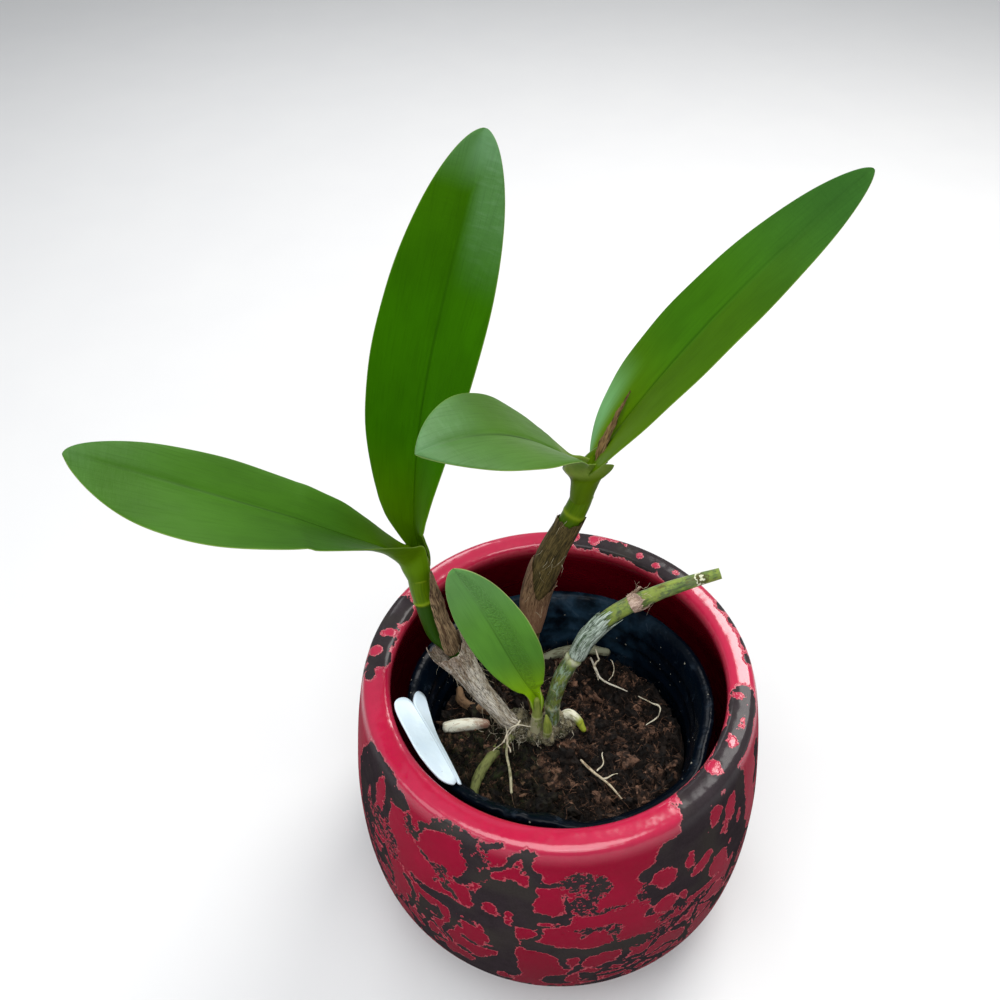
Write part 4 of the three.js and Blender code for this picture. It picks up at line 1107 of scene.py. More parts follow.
def bezier(spine, t):
    a, b, c, d = (np.asarray(point, float) for point in spine)
    t = t[:, None]
    return a * (1 - t) ** 3 + 3 * b * t * (1 - t) ** 2 + 3 * c * t * t * (1 - t) + d * t**3


def base_guides(leaf, shares):
    """The middle, the two edges and the two bulges of a leaf's base at shares along it."""
    flat = [[row[0], *sum(row[1:], ())] for row in leaf["base"]]
    rows = np.array([row + [0] * (16 - len(row)) for row in flat])
    line = spline(np.column_stack([rows[:, 1:4], rows[:, 0], rows[:, 4:]]), FINE)
    columns = [np.interp(shares, line[:, 3], line[:, j]) for j in (0, 1, 2, *range(4, 16))]
    return [np.stack(columns[i:i + 3], axis=-1) for i in range(0, 15, 3)]


def midrib(leaf, stations):
    """The leaf's middle line and its share of the length, below 0 where the base clasps the stem."""
    share = np.linspace(0, 0.9995, 60)
    blade = np.column_stack([bezier(leaf["spine"], share * 0.9945), share])
    if "base" in leaf:
        rows = [[*row[1], row[0]] for row in leaf["base"]]
        blade = np.vstack([rows, blade[share > leaf["base"][-1][0] + 0.01]])
    line = spline(blade, 900)
    # the stations crowd together towards both ends
    turn = np.pi * (np.arange(stations) + 0.35) / (stations - 0.65)
    at = (1 - np.cos(turn)) / 2 * (len(line) - 1)
    line = np.stack([np.interp(at, np.arange(len(line)), column) for column in line.T], axis=1)
    return line[:, :3], line[:, 3]


def leaf_body(leaf, stations=150, columns=38):
    """A leathery blade with a grooved midrib above and a keel below, as rings of points round its section."""
    centre, t = midrib(leaf, stations)
    tangent = unit(np.gradient(centre, axis=0))
    base, tip = (np.asarray(face, float) for face in leaf["faces"])
    on_blade = np.clip(t, 0, 1)
    face = blend((base, tip), on_blade[:, None])
    face = unit(face - (face * tangent).sum(axis=1, keepdims=True) * tangent)
    side = np.cross(tangent, face)
    rise, fall = leaf["fullness"]
    widest = rise / (rise + fall)
    outline = (on_blade / widest) ** rise * ((1 - on_blade) / (1 - widest)) ** fall
    fold = blend(leaf["folds"], on_blade)

    u = np.sin(np.linspace(-1, 1, columns + 1) * np.pi / 2)
    sign = np.sign(u)
    t, on_blade, outline, fold = (row[:, None] for row in (t, on_blade, outline, fold))
    half = leaf["width"] / 2 * outline * (1 + leaf["skew"] * sign) + leaf["neck"] / 2 * (1 - on_blade) ** 3
    across = half * np.abs(u)
    wave = leaf["wave"] * u * u * outline * np.sin(9 * on_blade + 1.5 * sign)
    ripple = 0.12 * u**4 * outline * np.sin(31 * on_blade + 2 * sign)
    sheet = (
        centre[:, None]
        + side[:, None] * (sign * across * np.cos(fold))[..., None]
        + face[:, None] * (across * np.sin(fold) + wave + ripple)[..., None]
    )
    closed = 0 * t
    if "base" in leaf:
        ends = leaf["base"][-1][0]
        closed = ramp(t, ends, ends * 0.6)
        guides = (part[:, None] for part in base_guides(leaf, t[:, 0]))
        middle, front, back, front_bulge, back_bulge = guides
        v = np.abs(u)[:, None]
        edge = np.where(u[:, None] < 0, front, back)
        bulge = np.where(u[:, None] < 0, front_bulge, back_bulge)
        wrap = middle + (edge - middle) * v + 4 * v * (1 - v) * bulge
        sheet = sheet + (wrap - sheet) * closed[..., None]

    normal = unit(np.cross(np.gradient(sheet, axis=1), np.gradient(sheet, axis=0)))
    middle_thick = LEAF_THICKNESS / 2 * (1 - 0.35 * on_blade)
    keel = (KEEL_DEPTH * (1 - on_blade) ** 2 + 0.25) * near(u * half, 0, KEEL_WIDTH) * (1 - closed)
    groove = GROOVE_DEPTH * (1 - 0.6 * on_blade) * near(u * half, 0, GROOVE_WIDTH) * outline**0.3
    thick = (middle_thick + (LEAF_EDGE / 2 - middle_thick) * u * u) * np.sqrt(1 - np.abs(u) ** 14)
    thick = thick * (1 - 0.9 * ramp(t, -0.03, -0.09)) * ramp(t, 1.004, 0.985)
    upper = sheet + normal * (thick - groove)[..., None]
    lower = sheet - normal * (thick + keel)[..., None]
    above = np.r_[np.ones(columns + 1), np.zeros(columns - 1)]
    u = np.r_[u, u[-2:0:-1]]
    half = np.concatenate([half, half[:, -2:0:-1]], axis=1)
    every = 0 * half
    values = {
        "flow": xyz(half * u, above * 8 - 4, length_along(centre)[:, None]) * MM,
        "across": u + every,
        "share": t + every,
        "above": above + every,
    }
    return skin(np.concatenate([upper, lower[:, -2:0:-1]], axis=1), values)


def leaf_paint(name, leaf, margin, pebbled):
    paint = Paint(name, Specular_IOR_Level=leaf["gloss"])
    across, share = paint.value("across"), paint.value("share")
    apart = paint.math("ABSOLUTE", across)
    strands = paint.noise(0.5, 2, paint.flow(1, 1, 0.03))
    clouds = paint.noise(14, 3, paint.flow(1, 1, 0.4))
    creases = paint.noise(1.5, 3, paint.flow(0.25, 1, 1))
    # painted reflection: a pale bluish sheen beside the rib and at the tip, with glints on the creases near
    # the tip
    beside_rib = paint.times(paint.span(share, 0.68, 0.9), paint.span(across, -0.05, 0.4, 0.0, 0.42))
    at_tip = paint.times(paint.span(share, 0.88, 0.98), paint.span(across, -0.6, 0.0, 0.45, 0.9))
    painted_crease_glint = paint.times(beside_rib, paint.span(creases, 0.42, 0.72, 0.0, 0.26))
    far_half = paint.times(paint.span(across, 0.0, 0.15), paint.span(share, 0.95, 0.5))
    near_edge = paint.times(paint.span(across, -0.35, -0.75), paint.span(share, 0.4, 0.16))
    rib = paint.times(paint.span(apart, 0.05, 0.006), paint.span(share, 1.0, 0.45))
    edge = paint.span(paint.add(apart, paint.wobble(2.0, 0.004)), 0.982, 0.997)
    below = paint.times(paint.less(1.0, paint.value("above")), paint.span(share, 0.08, 0.3))
    painted_sheen = leaf.get("painted_sheen", 0)
    clasp = "clasp_colour" in leaf
    band = paint.within(across, (0.0, 0.12), (0.7, 0.42))
    pebbles = paint.cells(0.75)
    colour = paint.layers(
        leaf["base_colour"],
        (paint.span(share, 0.0, leaf.get("base_reach", 0.34)), 1, leaf["colour"]),
        (paint.span(share, 0.6, 0.98), 1, leaf["tip_colour"]),
        (paint.most(beside_rib, at_tip), painted_sheen, (104, 146, 104)),
        (painted_crease_glint, painted_sheen, (150, 186, 150)),
        (paint.span(share, 0.08, -0.01), 1 if clasp else 0, leaf["clasp_colour" if clasp else "base_colour"]),
        (far_half, leaf.get("far_shade", 0), (62, 82, 4)),
        (near_edge, leaf.get("near_sheen", 0), (126, 186, 124)),
        (paint.span(clouds, 0.3, 0.75), 0.22, (20, 50, 0), "MULTIPLY"),
        (paint.span(strands, 0.45, 0.75), 0.14, (20, 50, 0), "MULTIPLY"),
        (rib, leaf.get("rib", 0.4), (16, 44, 2)),
        (edge, 0.6, margin),
        (below, 0.4, (108, 142, 62)),
        (paint.specks(8.0, 0.15, 0.25), 0.4, (190, 204, 176)),
        (paint.times(band, paint.span(pebbles, 0.2, 0.65)), 0.22 if pebbled else 0, (30, 70, 8)),
    )
    roughness = paint.add(paint.span(strands, 0.3, 0.7, 0.4, 0.47), paint.times(paint.noise(5, 3), 0.1))
    veins = paint.bump(strands, 0.03, paint.bump(paint.noise(2.6, 2, paint.flow(1, 1, 0.2)), 0.09))
    surface = paint.bump(paint.times(creases, paint.span(share, 0.6, 0.95)), 0.16, veins)
    if pebbled:
        surface = paint.bump(paint.times(pebbles, band), 0.3, surface)
    return paint.finish(Base_Color=colour, Roughness=roughness, Normal=surface)


def add_leaves():
    for name, leaf in LEAVES.items():
        small = name == "leaf_small"
        paint = leaf_paint(name + "_paint", leaf, (176, 176, 110) if small else (128, 152, 70), small)
        add_piece(name.replace("leaf", "blade"), leaf_body(leaf), paint, [name])


# ---------- stems ----------


def stem_paint(name, green, shade, pale, scurf_colour, lower=None, brown=None, stretch=0.07):
    """Smooth green skin with pale rings at the nodes, and white scurf where the value scurf says. With brown,
    the skin is stained and blotched, and has a dark scar near its end with a painted highlight line on it."""
    paint = Paint(name, Specular_IOR_Level=0.07)
    streaks = paint.noise(0.7, 3, paint.flow(1, 1, stretch))
    flakes = paint.noise(1.5, 5, paint.flow(1, 1, 0.3), 0.7)
    covering = paint.add(flakes, paint.times(paint.less(paint.value("scurf"), 1.0), 0.42))
    scurf = paint.span(covering, 0.36, 0.5)
    coats = [(paint.noise(5, 3), 0.2, pale)]
    if lower:
        coats.append((paint.value("lower"), 1, lower))
    coats.append((paint.value("ring"), 0.7, pale))
    if brown:
        end = paint.add(paint.value("share"), paint.wobble(2.2, 0.05, 3))
        coats += [
            (paint.span(paint.noise(4.6, 3, paint.bent(2, 1.2)), 0.46, 0.6), 0.5, (144, 158, 66)),
            (paint.span(paint.noise(3.2, 4, paint.flow(1, 1, 0.4)), 0.52, 0.68), 0.75, brown),
            (paint.within(end, (0.91, 0.925), (0.955, 0.94)), 0.8, (70, 62, 30)),
            # painted highlight: a pale line on the scar, standing in for the light caught at the cut end
            (paint.within(end, (0.915, 0.925), (0.937, 0.93)), 0.8, (222, 224, 196)),
        ]
    skin_colour = paint.mix(paint.span(streaks, 0.35, 0.68), green, shade)
    colour = paint.layers(skin_colour, *coats, (scurf, 0.85, scurf_colour))
    roughness = paint.span(scurf, 0, 1, 0.33, 0.85)
    grain = paint.bump(paint.times(scurf, flakes), 0.14, paint.bump(streaks, 0.06))
    return paint.finish(Base_Color=colour, Roughness=roughness, Normal=grain)


LEFT_STEM = [
    (-17.8, -0.5, 94.9, 2.4), (-20.2, 0, 96.6, 2.2), (-24.4, 1.5, 103.8, 2.0), (-29.7, 3.5, 110.8, 2.4),
    (-34.1, 6, 119.8, 2.8), (-38.4, 9, 127.8, 3.0), (-42.3, 11.5, 132, 3.1), (-46, 13, 135.9, 3.3),
    (-48, 15, 142.2, 3.6), (-49.5, 17.5, 149.4, 3.9), (-50.8, 19.5, 155.9, 4.1), (-51, 21.2, 162, 4.35),
    (-51, 22.6, 166, 4.2), (-51.1, 23.6, 168.5, 3.5), (-51.1, 24.3, 170.2, 2.2), (-51.1, 24.5, 171, 1.0),
]
BACK_STEM = [
    (-7.3, 5, 93.5, 2.6), (-8.1, 6, 99.6, 2.2), (-9.8, 9, 109.8, 2.3), (-10.3, 15, 121.5, 2.6),
    (-9.5, 20, 129.2, 2.9), (-7.9, 26, 138.8, 3.8), (-6, 29, 144.8, 4.2), (-3.4, 31.5, 151.2, 4.6),
    (0, 34, 159, 4.5), (3.6, 36, 166, 4.25), (6.6, 37.6, 172, 4.25), (8.5, 38.5, 176, 4.25),
    (10.1, 39.4, 180, 4.2), (11.3, 40.4, 185, 4.25), (12, 41.2, 189, 4.3), (12.8, 42, 192.5, 4.1),
    (14, 42.8, 195.5, 3.4), (15.4, 43.2, 198.5, 2.4), (16.6, 43.3, 201, 1.3),
]
OLD_STEM = [
    (-1.4, 0.2, 93.3, 2.8), (-1.6, 0.4, 99.9, 2.8), (-1.6, 0.6, 105.1, 2.9), (1.5, 2, 120.2, 3.1),
    (5.2, 3, 128.9, 3.05), (7.8, 4, 132.8, 2.9), (10.7, 4.6, 140.2, 3.0), (14.2, 5.2, 145.9, 3.1),
    (18.5, 6, 151, 3.1), (23, 7, 154.4, 3.1), (28.7, 8, 157.5, 3.1), (33.6, 8.5, 159.8, 2.9),
    (39.9, 9, 162.8, 2.7), (50.3, 9.6, 166.7, 2.35), (58.2, 10, 169.4, 2.05),
]
SHOOT_STEM = [(-8.2, -4, 92.5, 2.7), (-8, -3.6, 99, 2.4), (-7.8, -3.2, 106.5, 1.9), (-7.9, -2.6, 112.6, 1.3)]
SHOOT_BUD = [
    (-4.2, -6.6, 93.4, 1.5), (-3.9, -7, 98, 1.8), (-4.0, -7.1, 102, 1.7), (-4.2, -7.3, 106, 1.1),
    (-4.5, -7.3, 109, 0.4),
]


def at_heights(knots, heights):
    """The shares of a rising path's length at which it reaches heights."""
    line = spline(knots, FINE)
    gone = length_along(line[:, :3])
    return np.interp(heights, line[:, 2], gone / gone[-1])


def round_place(angle, along, size):
    """Places for noise that goes round a limb without a seam."""
    return xyz(np.cos(angle) * size, np.sin(angle) * size, along)


def add_stem(name, node, knots, paint, rings, scurf, lower=None, bulge=(0.4, 0.4), steps=220):
    """rings are the nodes: (share along, width of the ring, how far it stands out)."""

    def swell(along, angle, share):
        standing = sum(height * near(share, place, width) for place, width, height in rings)
        return 0.05 * noise(round_place(angle, along / 5, 2), 1, 41) + standing

    body = tube(knots, steps, 40, swell, bulge)
    values = body[2]
    share = values["share"]
    values["ring"] = np.clip(sum(near(share, place, width) for place, width, _ in rings), 0, 1)
    values["scurf"] = scurf(share)
    values["lower"] = lower(share) if lower else 0 * share
    add_piece(name, body, paint, [node])


def add_stems():
    green = stem_paint("green_stem", (74, 104, 0), (58, 90, 0), (128, 148, 30), (160, 150, 120), (24, 58, 12))
    low_ring, high_ring = at_heights(LEFT_STEM, (150.6, 160.5))
    add_stem(
        "left_stem", "left_pseudobulb", LEFT_STEM, green,
        [(low_ring, 0.007, 0.35), (high_ring, 0.003, 0.1)],
        lambda share: 0.25 * near(share, low_ring - 0.06, 0.06),
        lambda share: 0.85 * ramp(share, low_ring - 0.002, low_ring - 0.016),
    )
    low_mark, high_mark = at_heights(BACK_STEM, (174.2, 182))
    add_stem(
        "back_stem", "back_pseudobulb", BACK_STEM, green,
        [(low_mark, 0.007, 0.2), (high_mark, 0.0025, 0.12)],
        lambda share: 0.12 + 0 * share,
        lambda share: 0.4 * ramp(share, low_mark, low_mark - 0.03),
    )
    old = stem_paint(
        "old_stem_skin", (80, 108, 26), (26, 48, 6), (204, 206, 176), (150, 172, 152), brown=(74, 62, 36),
        stretch=0.22,
    )
    add_stem(
        "old_stem", "old_pseudobulb", OLD_STEM, old,
        [(0.105, 0.01, 0.3), (0.36, 0.011, 0.45)],
        lambda share: 0.18 * ramp(share, 0.62, 0.5) + 0.27 * ramp(share, 0.42, 0.3) + 0.27,
        bulge=(0.4, 0.05),
    )
    shoot = stem_paint("shoot_skin", (128, 140, 62), (96, 112, 40), (186, 186, 140), (170, 164, 136))
    add_stem(
        "shoot_stem", "young_shoot", SHOOT_STEM, shoot,
        [(0.55, 0.03, 0.15)], lambda share: ramp(share, 0.8, 0.4), bulge=(0.4, 1.2), steps=90,
    )
    bud = stem_paint("bud_skin", (146, 158, 60), (108, 128, 36), (200, 200, 150), (190, 186, 160))
    add_stem(
        "bud_scale", "shoot_bud", SHOOT_BUD, bud,
        [(0.3, 0.04, 0.12)], lambda share: 0.7 * ramp(share, 0.5, 0.1), bulge=(0.4, 1.0), steps=60,
    )


# ---------- dry sheaths ----------


def sheath_paint(name, light, middle, dark, reddish=None, mouth=None):
    """Papery dry tissue: fine crossed fibres over lengthwise streaks, with darker stains. It can be reddish
    at its foot, or another colour towards its mouth."""
    paint = Paint(name, Specular_IOR_Level=0.2)
    fibres = paint.noise(0.26, 4, paint.flow(1, 1, 0.07), 0.65)
    bands = paint.noise(1.1, 3, paint.flow(1, 1, 0.14))
    share = paint.value("share")
    coats = []
    if mouth:
        coats.append((paint.span(paint.add(share, paint.wobble(4, 0.3, 3)), 0.5, 0.85), 0.7, mouth))
    coats += [
        (paint.span(fibres, 0.58, 0.36), 0.9, dark),
        (paint.span(paint.noise(0.8, 4, paint.flow(1, 1, 0.2), 0.7, 1.2), 0.54, 0.64), 0.5, light),
        (paint.span(paint.noise(4.5, 3), 0.56, 0.7), 0.5, dark),
    ]
    if reddish:
        coats.append((paint.span(share, 0.5, 0.1), 0.6, reddish))
    colour = paint.layers(paint.mix(paint.span(bands, 0.34, 0.6), middle, light), *coats)
    grain = paint.bump(fibres, 0.1, paint.bump(bands, 0.12))
    roughness = paint.span(fibres, 0.3, 0.7, 0.9, 0.65)
    return paint.finish(Base_Color=colour, Roughness=roughness, Normal=grain)


def sheath_body(knots, steps, sides, wall, top, flare, rib, seed):
    """A thin torn sleeve round a stem. top(angle) is the share of the path at which it ends on each side, and
    flare(angle) how far it stands away there, in millimetres. The knots' radii are its outside."""
    line = spline(knots, FINE)
    path, radius = line[:, :3], line[:, 3]
    _, side, up = frames_along(path)
    angle = 2 * np.pi * np.arange(sides) / sides
    ends = top(angle)
    share = np.linspace(0, 1, steps)[:, None] * ends
    at = share * (FINE - 1)

    def sample(array):
        low = np.clip(np.floor(at).astype(int), 0, FINE - 2)
        part = at - low
        part = part[..., None] if array.ndim > 1 else part
        return array[low] * (1 - part) + array[low + 1] * part

    out = outward(angle, sample(side), sample(up))
    along = sample(length_along(path))
    place = round_place(angle, along / 9, 3)
    wrinkles = rib * noise(place, 0.55, seed) + 0.5 * rib * noise(place, (0.3, 0.3, 0.6), seed + 1)
    opening = ramp(share / ends, 0.6, 1.0) ** 1.5
    reach = sample(radius) + wrinkles + opening * flare(angle)
    middle = sample(path)
    layers = [middle + (reach - depth * (1 - 0.5 * opening))[..., None] * out for depth in (0.0, wall)]
    count = steps * sides
    j = np.arange(sides)
    k = (j + 1) % sides
    last = (steps - 1) * sides
    upper_edge = np.stack([last + j, last + k, count + last + k, count + last + j], axis=-1)
    lower_edge = np.stack([k, j, count + j, count + k], axis=-1)
    inner = grid_faces(steps, sides, flip=True) + count
    faces = [np.concatenate([grid_faces(steps, sides), inner, upper_edge, lower_edge])]
    flow = xyz(reach * np.cos(angle), reach * np.sin(angle), along).reshape(-1, 3) * MM
    values = {"flow": np.tile(flow, (2, 1)), "share": np.tile(share.reshape(-1), 2)}
    return np.concatenate([layer.reshape(-1, 3) for layer in layers]), faces, values


def torn_edge(level, depth, seed, slants=()):
    """The share of the path where a sheath ends for each angle: ragged, with wide tongues at slants, each
    (angle, width, height)."""

    def top(angle):
        ring = round_place(angle, 0, 1)
        edge = level + depth * (0.6 * noise(ring * 4, 1, seed) + 0.4 * noise(ring * 11, 1, seed + 1))
        for centre, width, height in slants:
            apart = np.abs((angle - centre + np.pi) % (2 * np.pi) - np.pi)
            edge = edge + height * np.clip(1 - apart / width, 0, 1)
        return np.clip(edge, 0.3, 1)

    return top


def side_angle(knots, at, direction):
    """The angle round a path, at a share along it, whose side faces most towards a direction."""
    _, side, up = frames_along(spline(knots, FINE)[:, :3])
    i = int(at * (FINE - 1))
    return math.atan2(up[i] @ np.asarray(direction, float), side[i] @ np.asarray(direction, float))


LEFT_SHEATH = [
    (-15.8, -0.5, 92.4, 2.9), (-18.6, -0.3, 95.2, 3.2), (-20.8, 0.1, 97.4, 3.4), (-24.6, 1.5, 103.8, 3.7),
    (-28.8, 3.2, 109.8, 4.1), (-33, 5.2, 117.5, 4.8), (-37, 7.6, 125, 5.7), (-40.2, 9.2, 131, 6.7),
    (-41.6, 9.8, 134.5, 6.9), (-42.8, 10.8, 139, 6.0),
]
BACK_SHEATH = [
    (-7.4, 5.2, 94.7, 3.05), (-8.1, 6, 99.6, 3.05), (-9.8, 9, 109.8, 3.3), (-10.3, 15, 121.5, 3.6),
    (-9.5, 20, 129.2, 3.9), (-8.4, 23, 133.9, 4.4), (-7.7, 26, 138.8, 5.0), (-6, 29, 144.8, 5.5),
    (-3.2, 31.5, 150.9, 5.7), (0.1, 34, 159.3, 5.35), (3.7, 36, 165.8, 4.95), (6.4, 37.5, 171.6, 4.8),
    (8.1, 38.4, 175.4, 4.7),
]
OVERLAP = [
    (-9.6, 19.4, 128.4, 4.2), (-8.4, 23, 133.9, 5.2), (-7.6, 26, 138.8, 5.9), (-5.8, 29, 144.8, 6.2),
    (-3.2, 31.5, 150.9, 6.2), (0.1, 34, 159.3, 5.6),
]
OLD_SHEATH = [
    (7.6, 3.8, 132.2, 3.5), (10.7, 4.6, 140.5, 3.75), (14.2, 5.2, 145.9, 3.75), (18.5, 6, 151, 3.65),
    (23, 7, 154.4, 3.45), (26, 7.5, 156.1, 3.4),
]
CUFF = [(26.6, 7.6, 156.4, 3.3), (28.7, 8, 157.5, 3.7), (31, 8.2, 158.6, 3.5), (34.5, 8.6, 160.2, 3.3)]
STRIP = dict(
    spine=[(-37.6, 7.6, 131), (-41.4, 9.6, 143), (-44.4, 14.2, 156), (-46.2, 18, 167)],
    faces=[(0.75, -0.6, 0.2), (0.85, -0.45, 0.1)],
    width=8.4, neck=3.4, fullness=(0.3, 0.7), skew=0, folds=(-0.45, -0.3), wave=0.7,
)
FLOWER_SHEATH = dict(
    spine=[(15.4, 37.4, 199.5), (17.2, 39.8, 206), (21.4, 44.3, 214.5), (26.6, 48.4, 223.6)],
    faces=[(-0.8, -0.35, 0.45), (-0.8, -0.35, 0.45)],
    width=4.2, neck=1.6, fullness=(0.45, 1.1), skew=0.1, folds=(0.5, 0.2), wave=0.3,
)


def thin_blade(leaf, thickness, seed):
    """A dry narrow blade: a leaf's form at a fraction of its thickness, crumpled."""
    stations, columns = 90, 16
    points, faces, values = leaf_body(leaf, stations, columns)
    rings = points[:-2].reshape(stations, -1, 3)
    around = rings.shape[1]
    sheet = (rings + rings[:, (around - np.arange(around)) % around]) / 2
    away = unit(rings[:, columns // 2] - rings[:, columns // 2 + columns])[:, None]
    crumple = 0.35 * noise(sheet, 3.0, seed) + 0.2 * noise(sheet, 1.2, seed + 1)
    thinned = sheet + (rings - sheet) * thickness + away * crumple[..., None]
    return skin(thinned, {})[0], faces, values


def add_sheath(name, node, body, *colours, **tints):
    add_piece(name, body, sheath_paint(name + "_skin", *colours, **tints), [node])


def add_sheaths():
    left = side_angle(LEFT_SHEATH, 0.9, (-1, -0.3, 0))
    right = side_angle(LEFT_SHEATH, 0.9, (1, 0.2, 0))
    body = sheath_body(
        LEFT_SHEATH, steps=80, sides=96, wall=0.4, rib=0.3, seed=52,
        top=torn_edge(0.86, 0.03, 51, [(left, 0.5, 0.1), (right, 1.1, 0.16)]),
        flare=lambda angle: 1.6 * ramp(np.cos(angle - left), 0.5, 1),
    )
    grey = (226, 220, 206), (160, 146, 124), (58, 45, 34)
    add_sheath("left_stem_sheath", "left_sheath", body, *grey, mouth=(122, 94, 72))

    right = side_angle(BACK_SHEATH, 0.95, (1, -0.3, 0))
    body = sheath_body(
        BACK_SHEATH, steps=100, sides=80, wall=0.35, rib=0.1, seed=54,
        top=torn_edge(0.94, 0.012, 53, [(right, 1.2, 0.05)]),
        flare=lambda angle: 0.1 + 0.2 * np.sin(angle * 2),
    )
    olive = (98, 82, 46), (58, 50, 20), (22, 18, 8)
    add_sheath("back_stem_sheath", "back_sheath", body, *olive, reddish=(100, 70, 50))

    left = side_angle(OVERLAP, 0.6, (-1, -0.15, 0))
    right = side_angle(OVERLAP, 0.6, (1, -0.15, 0))
    body = sheath_body(
        OVERLAP, steps=56, sides=70, wall=0.3, rib=0.12, seed=62,
        top=torn_edge(0.42, 0.04, 61, [(left, 1.4, 0.42), (right, 1.2, 0.24)]),
        flare=lambda angle: 0.5 * ramp(np.cos(angle - left), 0.8, 1),
    )
    brown = (134, 104, 78), (92, 68, 48), (40, 27, 18)
    add_sheath("back_sheath_overlap", "back_sheath", body, *brown, reddish=(120, 84, 66))

    body = sheath_body(
        OLD_SHEATH, steps=60, sides=80, wall=0.3, rib=0.16, seed=56,
        top=torn_edge(0.72, 0.2, 55), flare=lambda angle: 0.15,
    )
    white = (184, 198, 186), (88, 108, 84), (20, 40, 16)
    add_sheath("old_stem_sheath", "old_bulb_sheath", body, *white)

    above = side_angle(CUFF, 0.5, (-0.3, -0.2, 1))
    body = sheath_body(
        CUFF, steps=36, sides=70, wall=0.3, rib=0.3, seed=58,
        top=torn_edge(0.55, 0.3, 57), flare=lambda angle: 0.5 + 0.9 * np.cos(angle - above),
    )
    pinkish = (196, 172, 156), (150, 122, 104), (90, 66, 54)
    add_sheath("old_stem_cuff", "old_bulb_cuff", body, *pinkish)

    dark_brown = (146, 122, 92), (84, 62, 44), (32, 22, 16)
    add_sheath("clinging_strip", "left_sheath_strip", thin_blade(STRIP, 0.35, 59), *dark_brown)
    rust = (138, 110, 70), (92, 68, 38), (50, 36, 20)
    add_sheath("dried_flower_sheath", "flower_sheath", thin_blade(FLOWER_SHEATH, 0.4, 60), *rust)


def loose_threads(*form, joints, curl, lift):
    """Fine threads as a body, with the values that root_paint reads."""
    points, faces, _ = threads(*form, joints, curl, lift)
    plain = np.zeros(len(points))
    return points, faces, {"flow": points * MM, "share": plain, "tip": plain}


def add_torn_threads():
    """Loose fibres that lie along the dry sheaths and the foot of the stems, frayed from the tissue."""
    rng = np.random.default_rng(91)
    beds = [
        # the path, how many threads, the shares of the path that they start from, how far they stray sideways
        (LEFT_SHEATH, 150, (0.02, 0.85), 0.4), (OLD_STEM, 46, (0.0, 0.36), 0.4),
        (BACK_SHEATH, 40, (0.3, 0.98), 0.2), (CUFF, 14, (0.2, 0.9), 0.7),
    ]
    parts = []
    for knots, count, shares, stray in beds:
        line = spline(knots, FINE)
        path, radius = line[:, :3], line[:, 3]
        tangent, side, up = frames_along(path)
        at = (rng.uniform(*shares, count) * (FINE - 1)).astype(int)
        out = outward(rng.uniform(0, 2 * np.pi, count), side[at], up[at])
        around = np.cross(tangent[at], out)
        starts = path[at] + out * (radius[at] + rng.uniform(0.0, 0.35, count))[:, None]
        way = rng.choice([-1, 1], count)[:, None]
        headings = way * tangent[at] + stray * rng.normal(size=(count, 1)) * around + 0.12 * out
        lengths = rng.uniform(2, 8, count)
        radii = rng.uniform(0.05, 0.11, count)
        form = starts, headings, lengths, radii, rng
        parts.append(loose_threads(*form, joints=6, curl=0.22, lift=-0.02))
    paint = root_paint("torn_fibre", (190, 178, 152), (120, 104, 80))
    add_piece("torn_threads", merge(parts), paint)


# ---------- rhizome and roots ----------

ROOT_GREEN = (128, 138, 34)
RHIZOME = [(-21, 1.5, 88, 3), (-15, 0, 88.6, 4.6), (-7, -0.5, 88, 5.2), (1, 1, 86.6, 4.8), (7.5, 4, 84.6, 3)]
SWELLINGS = [(-15.5, 1.5, 91, 6), (-2, 1.6, 89.5, 6.4), (-8, -4, 91.5, 4.6), (-3.6, -6.4, 91.5, 3)]


def rhizome_paint():
    """Brown skin under a pale net of scurf, with moss in patches."""
    paint = Paint("scurfy_rhizome", Specular_IOR_Level=0.25)
    net = paint.span(paint.noise(0.8, 4, roughness=0.7, distortion=1.6), 0.53, 0.66)
    colour = paint.layers(
        paint.mix(paint.span(paint.noise(2.2, 4), 0.35, 0.65), (46, 42, 30), (122, 114, 88)),
        (net, 0.8, (200, 198, 178)),
        (paint.span(paint.noise(3.5, 3), 0.55, 0.7), 0.5, (74, 82, 46)),
    )
    grain = paint.bump(net, 0.25, paint.bump(paint.noise(0.9, 4), 0.4))
    return paint.finish(Base_Color=colour, Roughness=0.85, Normal=grain)


def add_rhizome():
    """The creeping stem and its swellings, fused and given the ridged leaf scars that ring it."""
    parts = [tube(RHIZOME, 40, 24)]
    ball, triangles = round_lump(3)
    for x, y, z, radius in SWELLINGS:
        parts.append((ball * radius + (x, y, z), [triangles], {"flow": ball, "share": ball[:, 0]}))
    piece = link("rhizome_parts", make_mesh("rhizome_parts", *merge(parts)[:2]))
    fuse = piece.modifiers.new("fuse", "REMESH")
    fuse.mode = "VOXEL"
    fuse.voxel_size = 0.45 * MM
    soften = piece.modifiers.new("soften", "SMOOTH")
    soften.iterations = 6
    fused = applied(piece)
    bpy.data.objects.remove(piece)
    points = np.array([v.co for v in fused.vertices]) / MM
    normals = np.array([v.normal for v in fused.vertices])
    groups = [np.array([list(p.vertices) for p in fused.polygons if len(p.vertices) == n]) for n in (3, 4)]
    scars = np.sin(points[:, 0] * 2.6 + 1.5 * noise(points, 4, 61)) * 0.22
    shift = scars + 0.5 * rough_noise(points, 2.6, 62) + 0.25 * noise(points, 0.9, 65)
    body = points + normals * shift[:, None], [group for group in groups if len(group)], {}
    add_piece("creeping_rhizome", body, rhizome_paint(), ["rhizome"])


